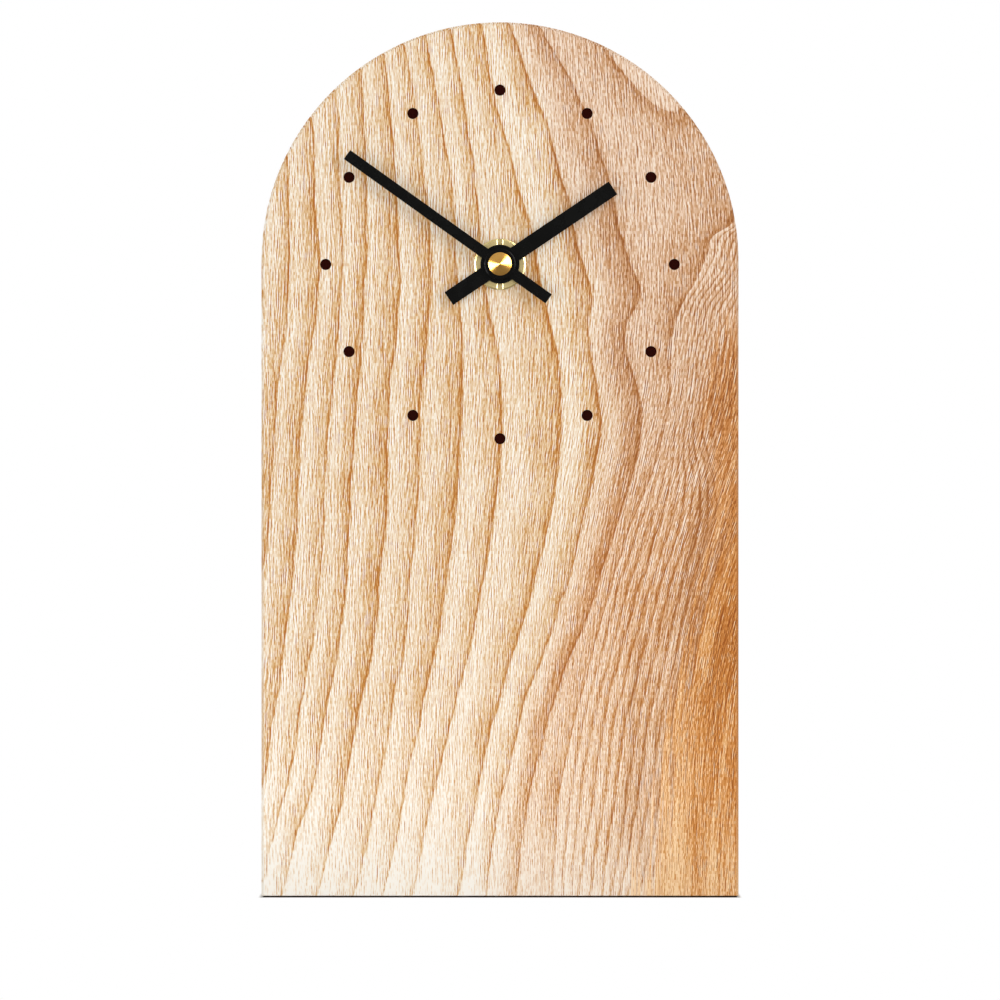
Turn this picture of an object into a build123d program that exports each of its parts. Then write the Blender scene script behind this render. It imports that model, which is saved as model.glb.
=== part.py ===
from build123d import *
import math
import os

# A desk clock: an arched block of solid wood with a battery quartz movement let into its back.
# Millimetres. +Z is up, the dial looks towards -Y, the origin is the middle of the resting face.

# Wooden body
BODY_WIDTH = 130.0
BODY_HEIGHT = 238.5
BODY_DEPTH = 36.0
EDGE_CHAMFER = 0.6
DIAL_DROP = 1.0
FRONT_WALL = 12.0
POCKET_MARGIN = 2.0
POCKET_CORNER_RADIUS = 6.0

# Hour marks: dark dowels glued into blind holes, their ends flush with the face
PEG_COUNT = 12
PEG_MARGIN = 17.5
PEG_DIAMETER = 3.0
PEG_LENGTH = 8.0

# Bevels on the nut and on the minute hand fall back by this share of their width
BEVEL_SLOPE = 0.3

# Fits, all of them radial
GLUE_GAP = 0.03
THREAD_GAP = 0.03
RUNNING_CLEARANCE = 0.05
PASSAGE_CLEARANCE = 0.2

# Fastening through the wood
GASKET_THICKNESS = 1.0
GASKET_DIAMETER = 22.0
BUSH_DIAMETER = 8.0
BUSH_FLANGE_DIAMETER = 10.4
BUSH_FLANGE_THICKNESS = 0.8
BUSH_PROUD = 3.0
NUT_DIAMETER = 14.0
NUT_THICKNESS = 2.2
NUT_BEVEL = 0.4
NUT_SLOT_WIDTH = 1.3
NUT_SLOT_DEPTH = 1.2
NUT_SLOT_BEVEL = 0.25

# Hands, angles clockwise from twelve
HAND_THICKNESS = 0.5
HOUR_ANGLE = 56.0
HOUR_LENGTH = 37.1
HOUR_TAIL = 16.8
HOUR_WIDTH = 4.2
HOUR_HUB_DIAMETER = 10.6
HOUR_COLLAR_DIAMETER = 7.0
HOUR_COLLAR_LENGTH = 0.7
MINUTE_ANGLE = 305.6
MINUTE_LENGTH = 51.2
MINUTE_TAIL = 16.3
MINUTE_WIDTH = 3.0
MINUTE_HUB_DIAMETER = 8.6
MINUTE_BOSS_HEIGHT = 0.4
MINUTE_BOSS_BEVEL = 0.3
HAND_SPACING = 1.1
CAP_DIAMETER = 6.3
CAP_RIM = 2.2
CAP_CONE = 0.9
CAP_TIP_DIAMETER = 0.2
CAP_THREAD_DEPTH = 2.1

# Concentric tubes on the dial axis
HOUR_TUBE_DIAMETER = 5.0
MINUTE_TUBE_DIAMETER = 3.2
MINUTE_END_DIAMETER = 2.8
MINUTE_END_FLATS = 2.2
SECOND_ARBOR_DIAMETER = 1.0
SECOND_ARBOR_REACH = 12.0

# Movement case and cover
CASE_SIDE = 56.0
CASE_WALL = 1.2
CASE_CORNER_RADIUS = 2.5
COVER_THICKNESS = 1.2
COVER_ROOM = 0.7
COVER_FIT = 0.1
TAB_WIDTH = 5.0
TAB_THICKNESS = 1.0
TAB_LENGTH = 4.8
BARB_HEIGHT = 0.7
BARB_LENGTH = 1.2
WINDOW_PLAY = 0.3
COVER_PAD = 3.0

# Battery, AA size, and its contacts
BATTERY_DIAMETER = 14.2
BATTERY_LENGTH = 50.2
BATTERY_NUB_DIAMETER = 5.3
BATTERY_NUB_LENGTH = 1.3
BATTERY_EDGE = 0.5
BATTERY_PLAY = 0.3
CONTACT_THICKNESS = 0.3
CONTACT_WIDTH = 6.0
CONTACT_HEIGHT = 3.0
SPRING_LENGTH = 9.0
SPRING_CREST = 3.4

# Gears
PRESSURE_ANGLE = 20.0
ADDENDUM = 0.95
DEDENDUM = 1.2
TOOTH_SHARE = 0.9
WHEEL_FACE = 0.8
PINION_OVERHANG = 0.2
AXIAL_GAP = 0.3
END_SHAKE = 0.1
PIVOT_DIAMETER = 0.6
PIVOT_LENGTH = 0.8
ARBOR_DIAMETER = 1.0
CLUTCH_DIAMETER = 6.0
CLUTCH_THICKNESS = 0.25
CLUTCH_PLAY = 0.05

# Hand-setting gears
CANNON_TEETH = 12
MOTION_TEETH = 36
MOTION_PINION_TEETH = 10
HOUR_TEETH = 40
SETTING_TEETH = 12
MOTION_MODULE = 0.35
MOTION_BEARING = 35.0
SETTING_BEARING = 30.0
MOTION_STUD_DIAMETER = 1.6
SETTING_ARBOR_DIAMETER = 3.0
SETTING_FLATS = 2.4
KNOB_DIAMETER = 14.0
KNOB_THICKNESS = 3.2
KNOB_STANDOFF = 0.3
KNOB_RIBS = 24
KNOB_RIB_DEPTH = 0.5
KNOB_RIB_TOP_SHARE = 0.4
KNOB_RIB_FOOT_SHARE = 0.6

# Going train
MINUTE_TEETH = 64
THIRD_PINION_TEETH = 8
THIRD_TEETH = 60
SECOND_PINION_TEETH = 8
SECOND_TEETH = 48
INTERMEDIATE_PINION_TEETH = 8
INTERMEDIATE_TEETH = 40
ROTOR_TEETH = 8
MINUTE_MODULE = 0.26
SECOND_MODULE = 0.34
ROTOR_MODULE = 0.25
THIRD_BEARING = 183.0
INTERMEDIATE_BEARING = 110.0
ROTOR_BEARING = 160.0

# Stepping motor
MAGNET_DIAMETER = 5.0
MAGNET_LENGTH = 2.0
ROTOR_AIR_GAP = 0.7
ROTOR_NOTCH_DIAMETER = 1.2
STATOR_THICKNESS = 1.0
STATOR_LEFT = -24.0
STATOR_RIGHT = -4.2
STATOR_BOTTOM = 0.5
STATOR_TOP = 23.0
STATOR_LEG = 3.5
STATOR_POLE_WIDTH = 9.2
CORE_WIDTH = 4.2
CORE_THICKNESS = 1.0
BOBBIN_FLANGE = 8.8
BOBBIN_FLANGE_THICKNESS = 0.8
BOBBIN_WALL = 0.6
BOBBIN_FIT = 0.1
WINDING_DIAMETER = 8.0

# Posts of the case, their pins, and the bridge that closes the train
POST_DIAMETER = 1.4
PIN_POST_SIDE = 2.2
PIN_SIDE = 1.2
PIN_REACH = 0.4
BRIDGE_THICKNESS = 1.0
BRIDGE_RIM = 4.4
BRIDGE_POSTS = ((2.5, 16.5), (11.0, -4.2), (-19.5, -6.5))

# Circuit board
BOARD_WIDTH = 14.0
BOARD_HEIGHT = 16.0
BOARD_THICKNESS = 0.8
BOARD_POSTS = ((15.2, -7.0), (23.6, 3.0))
CHIP_SIDE = 5.0
CHIP_HEIGHT = 1.0
CHIP_TAPER = 25.0
CHIP_PLACE = (18.5, -1.5)
CRYSTAL_DIAMETER = 2.0
CRYSTAL_LENGTH = 6.0
CRYSTAL_PLACE = (23.6, -5.2)

# Depths along the dial axis are counted from the movement's front face towards the back
FACE_DEPTH = -(GASKET_THICKNESS + FRONT_WALL)
BACK_DEPTH = FACE_DEPTH + BODY_DEPTH
MOVEMENT_FRONT = -BODY_DEPTH / 2 - FACE_DEPTH
ARCH_HEIGHT = BODY_HEIGHT - BODY_WIDTH / 2
DIAL_HEIGHT = ARCH_HEIGHT - DIAL_DROP
PEG_CIRCLE_RADIUS = BODY_WIDTH / 2 - PEG_MARGIN
PIN_HOLE_SIDE = PIN_SIDE + 2 * GLUE_GAP

# Depths of the wheels, each set clear of the one in front of it
HOUR_FRONT = CASE_WALL + AXIAL_GAP
HOUR_REAR = HOUR_FRONT + WHEEL_FACE
MOTION_PINION_FRONT = HOUR_FRONT - END_SHAKE
CANNON_FRONT = HOUR_REAR + AXIAL_GAP
MOTION_FRONT = CANNON_FRONT + PINION_OVERHANG
MOTION_REAR = MOTION_FRONT + WHEEL_FACE
CANNON_REAR = MOTION_REAR + PINION_OVERHANG
MINUTE_FRONT = CANNON_REAR + AXIAL_GAP
MINUTE_REAR = MINUTE_FRONT + WHEEL_FACE
CLUTCH_FRONT = MINUTE_REAR + CLUTCH_PLAY
CLUTCH_REAR = CLUTCH_FRONT + CLUTCH_THICKNESS
TUBE_REAR = CLUTCH_REAR + END_SHAKE
THIRD_PINION_FRONT = MINUTE_FRONT - PINION_OVERHANG
SECOND_PINION_FRONT = TUBE_REAR + AXIAL_GAP
THIRD_FRONT = SECOND_PINION_FRONT + PINION_OVERHANG
THIRD_REAR = THIRD_FRONT + WHEEL_FACE
INTERMEDIATE_PINION_FRONT = THIRD_REAR + AXIAL_GAP
SECOND_FRONT = INTERMEDIATE_PINION_FRONT + PINION_OVERHANG
SECOND_REAR = SECOND_FRONT + WHEEL_FACE
ROTOR_PINION_FRONT = SECOND_REAR + AXIAL_GAP
INTERMEDIATE_FRONT = ROTOR_PINION_FRONT + PINION_OVERHANG
INTERMEDIATE_REAR = INTERMEDIATE_FRONT + WHEEL_FACE
ROTOR_PINION_REAR = INTERMEDIATE_REAR + PINION_OVERHANG
MAGNET_FRONT = ROTOR_PINION_REAR + AXIAL_GAP
MAGNET_REAR = MAGNET_FRONT + MAGNET_LENGTH
STATOR_FRONT = (MAGNET_FRONT + MAGNET_REAR - STATOR_THICKNESS) / 2
STATOR_REAR = STATOR_FRONT + STATOR_THICKNESS
CORE_FRONT = STATOR_FRONT - CORE_THICKNESS
COIL_DEPTH = CORE_FRONT + CORE_THICKNESS / 2
BRIDGE_FRONT = MAGNET_REAR + 2 * AXIAL_GAP
BRIDGE_REAR = BRIDGE_FRONT + BRIDGE_THICKNESS
BOARD_REAR = BRIDGE_FRONT - 2 * END_SHAKE
BOARD_FRONT = BOARD_REAR - BOARD_THICKNESS
COVER_FRONT = COIL_DEPTH + BOBBIN_FLANGE / 2 + COVER_ROOM
CASE_DEPTH = COVER_FRONT + COVER_THICKNESS
KNOB_FRONT = CASE_DEPTH + KNOB_STANDOFF
KNOB_REAR = KNOB_FRONT + KNOB_THICKNESS

# Depths of the pieces in front of the wood
NUT_FRONT = FACE_DEPTH - NUT_THICKNESS
BUSH_FRONT = FACE_DEPTH - BUSH_PROUD
HOUR_COLLAR_REAR = BUSH_FRONT - AXIAL_GAP
HOUR_HAND_REAR = HOUR_COLLAR_REAR - HOUR_COLLAR_LENGTH
HOUR_HAND_FRONT = HOUR_HAND_REAR - HAND_THICKNESS
MINUTE_HAND_REAR = HOUR_HAND_FRONT - HAND_SPACING
MINUTE_HAND_FRONT = MINUTE_HAND_REAR - HAND_THICKNESS
MINUTE_BOSS_FRONT = MINUTE_HAND_FRONT - MINUTE_BOSS_HEIGHT
CAP_RIM_FRONT = MINUTE_BOSS_FRONT - CAP_RIM
CAP_FRONT = CAP_RIM_FRONT - CAP_CONE
MINUTE_TUBE_FRONT = MINUTE_BOSS_FRONT - CAP_THREAD_DEPTH + END_SHAKE

# Rooms of the case
INNER_HALF = CASE_SIDE / 2 - CASE_WALL
BAY_HEIGHT = BATTERY_DIAMETER + 2 * BATTERY_PLAY
BAY_TOP = BAY_HEIGHT - INNER_HALF
BAY_MIDDLE = BAY_TOP - BAY_HEIGHT / 2
ROOM_BOTTOM = BAY_TOP + CASE_WALL
ROOM_HEIGHT = INNER_HALF - ROOM_BOTTOM
BATTERY_DEPTH = CASE_WALL + BATTERY_PLAY + BATTERY_DIAMETER / 2
BATTERY_TIP = INNER_HALF - CONTACT_THICKNESS
BATTERY_TAIL = BATTERY_TIP - BATTERY_LENGTH
STRIP_REAR = BATTERY_DEPTH + SPRING_LENGTH / 2
BOARD_RIGHT = INNER_HALF - CONTACT_THICKNESS
BOARD_BOTTOM = ROOM_BOTTOM + CONTACT_THICKNESS
BOARD_MIDDLE = (BOARD_RIGHT - BOARD_WIDTH / 2, BOARD_BOTTOM + BOARD_HEIGHT / 2)

# Places round the case wall where the cover snaps in: a point on the inner wall and its bearing
TAB_PLACES = (
    ((12.0, INNER_HALF), 0.0),
    ((-12.0, INNER_HALF), 0.0),
    ((INNER_HALF, 13.0), 90.0),
    ((-INNER_HALF, -4.5), 270.0),
)
PAD_PLACES = (
    (INNER_HALF - COVER_PAD / 2, INNER_HALF - COVER_PAD / 2),
    (COVER_PAD / 2 - INNER_HALF, INNER_HALF - COVER_PAD / 2),
)
BARB_REAR = COVER_FRONT - TAB_LENGTH + BARB_LENGTH


def polar(origin, radius, bearing):
    """Point at a radius and a bearing, anticlockwise from three o'clock."""
    angle = math.radians(bearing)
    return (origin[0] + radius * math.cos(angle), origin[1] + radius * math.sin(angle))


def dial_plane(depth, axis=(0.0, 0.0), turn=0.0):
    """Plane that looks at the viewer; extruding from it goes forwards. Turn is clockwise."""
    origin = (axis[0], MOVEMENT_FRONT + depth, DIAL_HEIGHT + axis[1])
    across = (math.cos(math.radians(turn)), 0, -math.sin(math.radians(turn)))
    return Plane(origin=origin, x_dir=across, z_dir=(0, -1, 0))


def plan_plane(axis=(0.0, 0.0)):
    """Level plane through an axis: across is the radius, up the sheet is the depth."""
    origin = (axis[0], MOVEMENT_FRONT, DIAL_HEIGHT + axis[1])
    return Plane(origin=origin, x_dir=(1, 0, 0), z_dir=(0, 0, 1))


def spin_axis(axis=(0.0, 0.0)):
    """Line along the depth through a point of the dial plane."""
    return Axis((axis[0], MOVEMENT_FRONT, DIAL_HEIGHT + axis[1]), (0, 1, 0))


def turned(front, *steps):
    """Half outline of a turned piece. Each step is a diameter and the depth where it ends."""
    corners = [(0, front)]
    for diameter, rear in steps:
        corners += [(diameter / 2, front), (diameter / 2, rear)]
        front = rear
    return corners + [(0, front)]


def gear_distance(teeth, mate_teeth, module):
    """Distance between the axes of two gears in mesh."""
    return (teeth + mate_teeth) * module / 2


def gear_outline(teeth, module, first_tooth):
    """Corners of a spur gear. Small gears get a second corner on each flank, at the pitch circle."""
    pitch = teeth * module / 2
    base = pitch * math.cos(math.radians(PRESSURE_ANGLE))

    def involute(radius):
        angle = math.acos(base / max(radius, base))
        return math.degrees(math.tan(angle) - angle)

    def half_tooth(radius):
        return TOOTH_SHARE * 90 / teeth + involute(pitch) - involute(radius)

    radii = [pitch - DEDENDUM * module, pitch, pitch + ADDENDUM * module]
    if teeth > CANNON_TEETH:
        radii.remove(pitch)
    corners = []
    for tooth in range(teeth):
        middle = first_tooth + tooth * 360 / teeth
        corners += [polar((0, 0), radius, middle - half_tooth(radius)) for radius in radii]
        corners += [polar((0, 0), radius, middle + half_tooth(radius)) for radius in reversed(radii)]
    return corners


def ribbed_outline(ribs, radius, depth):
    """Corners of a round grip with a flat-topped rib at every step."""
    step = 360 / ribs
    top = KNOB_RIB_TOP_SHARE * step / 2
    foot = KNOB_RIB_FOOT_SHARE * step / 2
    corners = []
    for rib in range(ribs):
        corners.append(polar((0, 0), radius - depth, rib * step - foot))
        corners.append(polar((0, 0), radius, rib * step - top))
        corners.append(polar((0, 0), radius, rib * step + top))
        corners.append(polar((0, 0), radius - depth, rib * step + foot))
    return corners


def meshing_tooth(bearing, driver_teeth, driver_tooth, teeth):
    """Bearing of a tooth on a gear whose gap takes the driver's tooth. Bearing is driver to gear."""
    pitches = (driver_tooth - bearing) * driver_teeth / 360
    return bearing + 180 - (pitches + 0.5) * 360 / teeth


# Axes of the wheels, from the dial axis
HOUR_MODULE = MOTION_MODULE * (CANNON_TEETH + MOTION_TEETH) / (MOTION_PINION_TEETH + HOUR_TEETH)
THIRD_MODULE = MINUTE_MODULE * (MINUTE_TEETH + THIRD_PINION_TEETH) / (THIRD_TEETH + SECOND_PINION_TEETH)
MOTION_AXIS = polar((0, 0), gear_distance(CANNON_TEETH, MOTION_TEETH, MOTION_MODULE), MOTION_BEARING)
SETTING_AXIS = polar(
    MOTION_AXIS, gear_distance(MOTION_TEETH, SETTING_TEETH, MOTION_MODULE), SETTING_BEARING
)
THIRD_AXIS = polar((0, 0), gear_distance(MINUTE_TEETH, THIRD_PINION_TEETH, MINUTE_MODULE), THIRD_BEARING)
INTERMEDIATE_AXIS = polar(
    (0, 0), gear_distance(SECOND_TEETH, INTERMEDIATE_PINION_TEETH, SECOND_MODULE), INTERMEDIATE_BEARING
)
ROTOR_AXIS = polar(
    INTERMEDIATE_AXIS, gear_distance(INTERMEDIATE_TEETH, ROTOR_TEETH, ROTOR_MODULE), ROTOR_BEARING
)

# Bearing of one tooth on each gear, so that every pair stands in mesh
CANNON_TOOTH = MOTION_BEARING
MOTION_TOOTH = meshing_tooth(MOTION_BEARING, CANNON_TEETH, CANNON_TOOTH, MOTION_TEETH)
SETTING_TOOTH = meshing_tooth(SETTING_BEARING, MOTION_TEETH, MOTION_TOOTH, SETTING_TEETH)
MOTION_PINION_TOOTH = MOTION_TOOTH
HOUR_TOOTH = meshing_tooth(MOTION_BEARING + 180, MOTION_PINION_TEETH, MOTION_PINION_TOOTH, HOUR_TEETH)
MINUTE_TOOTH = THIRD_BEARING
THIRD_PINION_TOOTH = meshing_tooth(THIRD_BEARING, MINUTE_TEETH, MINUTE_TOOTH, THIRD_PINION_TEETH)
THIRD_TOOTH = THIRD_PINION_TOOTH
SECOND_PINION_TOOTH = meshing_tooth(THIRD_BEARING + 180, THIRD_TEETH, THIRD_TOOTH, SECOND_PINION_TEETH)
SECOND_TOOTH = SECOND_PINION_TOOTH
INTERMEDIATE_PINION_TOOTH = meshing_tooth(
    INTERMEDIATE_BEARING, SECOND_TEETH, SECOND_TOOTH, INTERMEDIATE_PINION_TEETH
)
INTERMEDIATE_TOOTH = INTERMEDIATE_PINION_TOOTH
ROTOR_TOOTH = meshing_tooth(ROTOR_BEARING, INTERMEDIATE_TEETH, INTERMEDIATE_TOOTH, ROTOR_TEETH)

# Coil and stator places
CORE_MIDDLE = STATOR_LEFT + CORE_WIDTH / 2
COIL_PINS = (
    (CORE_MIDDLE, STATOR_BOTTOM + STATOR_LEG / 2),
    (CORE_MIDDLE, STATOR_TOP - STATOR_LEG / 2),
)
BOBBIN_BOTTOM = STATOR_BOTTOM + STATOR_LEG + AXIAL_GAP
BOBBIN_TOP = STATOR_TOP - STATOR_LEG - AXIAL_GAP
WINDING_BOTTOM = BOBBIN_BOTTOM + BOBBIN_FLANGE_THICKNESS
WINDING_LENGTH = BOBBIN_TOP - BOBBIN_BOTTOM - 2 * BOBBIN_FLANGE_THICKNESS
BOBBIN_BORE = (CORE_WIDTH + 2 * BOBBIN_FIT, CORE_THICKNESS + 2 * BOBBIN_FIT)
BOBBIN_TUBE = (BOBBIN_BORE[0] + 2 * BOBBIN_WALL, BOBBIN_BORE[1] + 2 * BOBBIN_WALL)


def coil_plane(height):
    """Level plane across the coil at a height above the dial axis, centred on the core."""
    origin = (CORE_MIDDLE, MOVEMENT_FRONT + COIL_DEPTH, DIAL_HEIGHT + height)
    return Plane(origin=origin, x_dir=(1, 0, 0), z_dir=(0, 0, 1))


os.makedirs("parts", exist_ok=True)

# The body: an arched block with a pocket for the movement in its back
with BuildPart() as wood_body:
    with BuildSketch(Plane.XZ.offset(-BODY_DEPTH / 2)):
        with BuildLine():
            Polyline(
                (-BODY_WIDTH / 2, ARCH_HEIGHT),
                (-BODY_WIDTH / 2, 0),
                (BODY_WIDTH / 2, 0),
                (BODY_WIDTH / 2, ARCH_HEIGHT),
            )
            ThreePointArc((BODY_WIDTH / 2, ARCH_HEIGHT), (0, BODY_HEIGHT), (-BODY_WIDTH / 2, ARCH_HEIGHT))
        make_face()
    extrude(amount=BODY_DEPTH)
    base_edges = wood_body.faces().sort_by(Axis.Z)[0].edges()
    outline_edges = wood_body.faces().filter_by(Axis.Y).edges()
    chamfer(outline_edges + base_edges.filter_by(Axis.Y), EDGE_CHAMFER)
    with BuildSketch(dial_plane(BACK_DEPTH)):
        RectangleRounded(
            CASE_SIDE + 2 * POCKET_MARGIN, CASE_SIDE + 2 * POCKET_MARGIN, POCKET_CORNER_RADIUS
        )
    extrude(amount=BODY_DEPTH - FRONT_WALL, mode=Mode.SUBTRACT)
    with BuildSketch(dial_plane(FACE_DEPTH + FRONT_WALL)):
        Circle(BUSH_DIAMETER / 2 + PASSAGE_CLEARANCE)
    extrude(amount=FRONT_WALL, mode=Mode.SUBTRACT)
    with BuildSketch(dial_plane(FACE_DEPTH + PEG_LENGTH)):
        with PolarLocations(PEG_CIRCLE_RADIUS, PEG_COUNT):
            Circle(PEG_DIAMETER / 2 + GLUE_GAP)
    extrude(amount=PEG_LENGTH, mode=Mode.SUBTRACT)
wood_body.part.label = "wood_body"
export_step(wood_body.part, "parts/wood_body.step")

# The hour marks, numbered clockwise with twelve at the top
for hour in range(1, PEG_COUNT + 1):
    peg_axis = polar((0, 0), PEG_CIRCLE_RADIUS, 90 - hour * 360 / PEG_COUNT)
    with BuildPart() as hour_peg:
        with BuildSketch(dial_plane(FACE_DEPTH + PEG_LENGTH, peg_axis)):
            Circle(PEG_DIAMETER / 2)
        extrude(amount=PEG_LENGTH)
    hour_peg.part.label = f"hour_peg_{hour:02d}"
    export_step(hour_peg.part, f"parts/hour_peg_{hour:02d}.step")

# Rubber ring between the movement and the pocket floor
with BuildPart() as gasket:
    with BuildSketch(dial_plane(0)):
        Circle(GASKET_DIAMETER / 2)
        Circle(BUSH_DIAMETER / 2 + PASSAGE_CLEARANCE, mode=Mode.SUBTRACT)
    extrude(amount=GASKET_THICKNESS)
gasket.part.label = "gasket"
export_step(gasket.part, "parts/gasket.step")

# Threaded bush: its flange sits in the case, its front end takes the nut
with BuildPart() as threaded_bush:
    with BuildSketch(plan_plane()):
        Polygon(
            *turned(
                BUSH_FRONT,
                (BUSH_DIAMETER, CASE_WALL - BUSH_FLANGE_THICKNESS),
                (BUSH_FLANGE_DIAMETER, CASE_WALL),
            )
        )
    revolve(axis=spin_axis())
    with BuildSketch(dial_plane(CASE_WALL)):
        Circle(HOUR_TUBE_DIAMETER / 2 + RUNNING_CLEARANCE)
    extrude(amount=CASE_WALL - BUSH_FRONT, mode=Mode.SUBTRACT)
threaded_bush.part.label = "threaded_bush"
export_step(threaded_bush.part, "parts/threaded_bush.step")

# Round nut that clamps the movement to the wood, bevelled round its rim and along its driver slot
with BuildPart() as mounting_nut:
    with BuildSketch(dial_plane(FACE_DEPTH)):
        Circle(NUT_DIAMETER / 2)
        Circle(BUSH_DIAMETER / 2 + THREAD_GAP, mode=Mode.SUBTRACT)
    extrude(amount=NUT_THICKNESS)
    nut_face = mounting_nut.faces().sort_by(Axis.Y)[0]
    nut_rim = nut_face.edges().sort_by(SortBy.RADIUS)[-1]
    chamfer(nut_rim, NUT_BEVEL, BEVEL_SLOPE * NUT_BEVEL, reference=nut_face)
    with BuildSketch(plan_plane()):
        with BuildLine():
            Polyline(
                (0, NUT_FRONT),
                (NUT_SLOT_WIDTH / 2 + NUT_SLOT_BEVEL, NUT_FRONT),
                (NUT_SLOT_WIDTH / 2, NUT_FRONT + BEVEL_SLOPE * NUT_SLOT_BEVEL),
                (NUT_SLOT_WIDTH / 2, NUT_FRONT + NUT_SLOT_DEPTH),
                (0, NUT_FRONT + NUT_SLOT_DEPTH),
            )
            mirror(about=Plane.YZ)
        make_face()
    extrude(amount=NUT_DIAMETER / 2, both=True, mode=Mode.SUBTRACT)
mounting_nut.part.label = "mounting_nut"
export_step(mounting_nut.part, "parts/mounting_nut.step")

# Hour hand: a bar with a round hub, and a collar behind it that grips the hour tube
with BuildPart() as hour_hand:
    with BuildSketch(dial_plane(HOUR_HAND_REAR, turn=HOUR_ANGLE)):
        with Locations((0, (HOUR_LENGTH - HOUR_TAIL) / 2)):
            Rectangle(HOUR_WIDTH, HOUR_LENGTH + HOUR_TAIL)
        Circle(HOUR_HUB_DIAMETER / 2)
    extrude(amount=HAND_THICKNESS)
    with BuildSketch(dial_plane(HOUR_COLLAR_REAR)):
        Circle(HOUR_COLLAR_DIAMETER / 2)
    extrude(amount=HOUR_COLLAR_LENGTH)
    with BuildSketch(dial_plane(HOUR_COLLAR_REAR)):
        Circle(HOUR_TUBE_DIAMETER / 2)
    extrude(amount=HOUR_COLLAR_LENGTH + HAND_THICKNESS, mode=Mode.SUBTRACT)
hour_hand.part.label = "hour_hand"
export_step(hour_hand.part, "parts/hour_hand.step")

# Minute hand: a longer, narrower bar with a raised hub whose hole fits the flats of the minute tube
with BuildPart() as minute_hand:
    with BuildSketch(dial_plane(MINUTE_HAND_REAR, turn=MINUTE_ANGLE)):
        with Locations((0, (MINUTE_LENGTH - MINUTE_TAIL) / 2)):
            Rectangle(MINUTE_WIDTH, MINUTE_LENGTH + MINUTE_TAIL)
        Circle(MINUTE_HUB_DIAMETER / 2)
    extrude(amount=HAND_THICKNESS)
    with BuildSketch(dial_plane(MINUTE_HAND_FRONT)):
        Circle(MINUTE_HUB_DIAMETER / 2)
    extrude(amount=MINUTE_BOSS_HEIGHT)
    boss_face = minute_hand.faces().sort_by(Axis.Y)[0]
    chamfer(boss_face.edges(), MINUTE_BOSS_BEVEL, BEVEL_SLOPE * MINUTE_BOSS_BEVEL, reference=boss_face)
    with BuildSketch(dial_plane(MINUTE_HAND_REAR, turn=MINUTE_ANGLE)):
        Circle(MINUTE_END_DIAMETER / 2)
        Rectangle(MINUTE_END_FLATS, MINUTE_END_DIAMETER, mode=Mode.INTERSECT)
    extrude(amount=HAND_THICKNESS + MINUTE_BOSS_HEIGHT, mode=Mode.SUBTRACT)
minute_hand.part.label = "minute_hand"
export_step(minute_hand.part, "parts/minute_hand.step")

# Closed nut over the end of the shaft, turned to a shallow cone with a tiny flat at its tip
with BuildPart() as cap_nut:
    with BuildSketch(plan_plane()):
        Polygon(
            (0, CAP_FRONT),
            (CAP_TIP_DIAMETER / 2, CAP_FRONT),
            (CAP_DIAMETER / 2, CAP_RIM_FRONT),
            (CAP_DIAMETER / 2, MINUTE_BOSS_FRONT),
            (0, MINUTE_BOSS_FRONT),
        )
    revolve(axis=spin_axis())
    with BuildSketch(dial_plane(MINUTE_BOSS_FRONT)):
        Circle(MINUTE_END_DIAMETER / 2 + THREAD_GAP)
    extrude(amount=CAP_THREAD_DEPTH, mode=Mode.SUBTRACT)
cap_nut.part.label = "cap_nut"
export_step(cap_nut.part, "parts/cap_nut.step")

# Minute tube: carries the minute hand in front and the cannon pinion inside the case
with BuildPart() as minute_tube:
    with BuildSketch(plan_plane()):
        Polygon(*turned(MINUTE_HAND_REAR, (MINUTE_TUBE_DIAMETER, TUBE_REAR)))
    revolve(axis=spin_axis())
    with BuildSketch(dial_plane(MINUTE_HAND_REAR, turn=MINUTE_ANGLE)):
        Circle(MINUTE_END_DIAMETER / 2)
        Rectangle(MINUTE_END_FLATS, MINUTE_END_DIAMETER, mode=Mode.INTERSECT)
    extrude(amount=MINUTE_HAND_REAR - MINUTE_TUBE_FRONT)
    with BuildSketch(dial_plane(CANNON_REAR)):
        Polygon(*gear_outline(CANNON_TEETH, MOTION_MODULE, CANNON_TOOTH))
    extrude(amount=CANNON_REAR - CANNON_FRONT)
    with BuildSketch(dial_plane(TUBE_REAR)):
        Circle(SECOND_ARBOR_DIAMETER / 2 + RUNNING_CLEARANCE)
    extrude(amount=TUBE_REAR + SECOND_ARBOR_REACH + END_SHAKE, mode=Mode.SUBTRACT)
minute_tube.part.label = "minute_tube"
export_step(minute_tube.part, "parts/minute_tube.step")

# Hour wheel with the long tube that carries the hour hand
with BuildPart() as hour_wheel:
    with BuildSketch(dial_plane(HOUR_REAR)):
        Polygon(*gear_outline(HOUR_TEETH, HOUR_MODULE, HOUR_TOOTH))
    extrude(amount=WHEEL_FACE)
    with BuildSketch(dial_plane(HOUR_REAR)):
        Circle(HOUR_TUBE_DIAMETER / 2)
    extrude(amount=HOUR_REAR - HOUR_HAND_FRONT)
    with BuildSketch(dial_plane(HOUR_REAR)):
        Circle(MINUTE_TUBE_DIAMETER / 2 + RUNNING_CLEARANCE)
    extrude(amount=HOUR_REAR - HOUR_HAND_FRONT, mode=Mode.SUBTRACT)
hour_wheel.part.label = "hour_wheel"
export_step(hour_wheel.part, "parts/hour_wheel.step")

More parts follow.
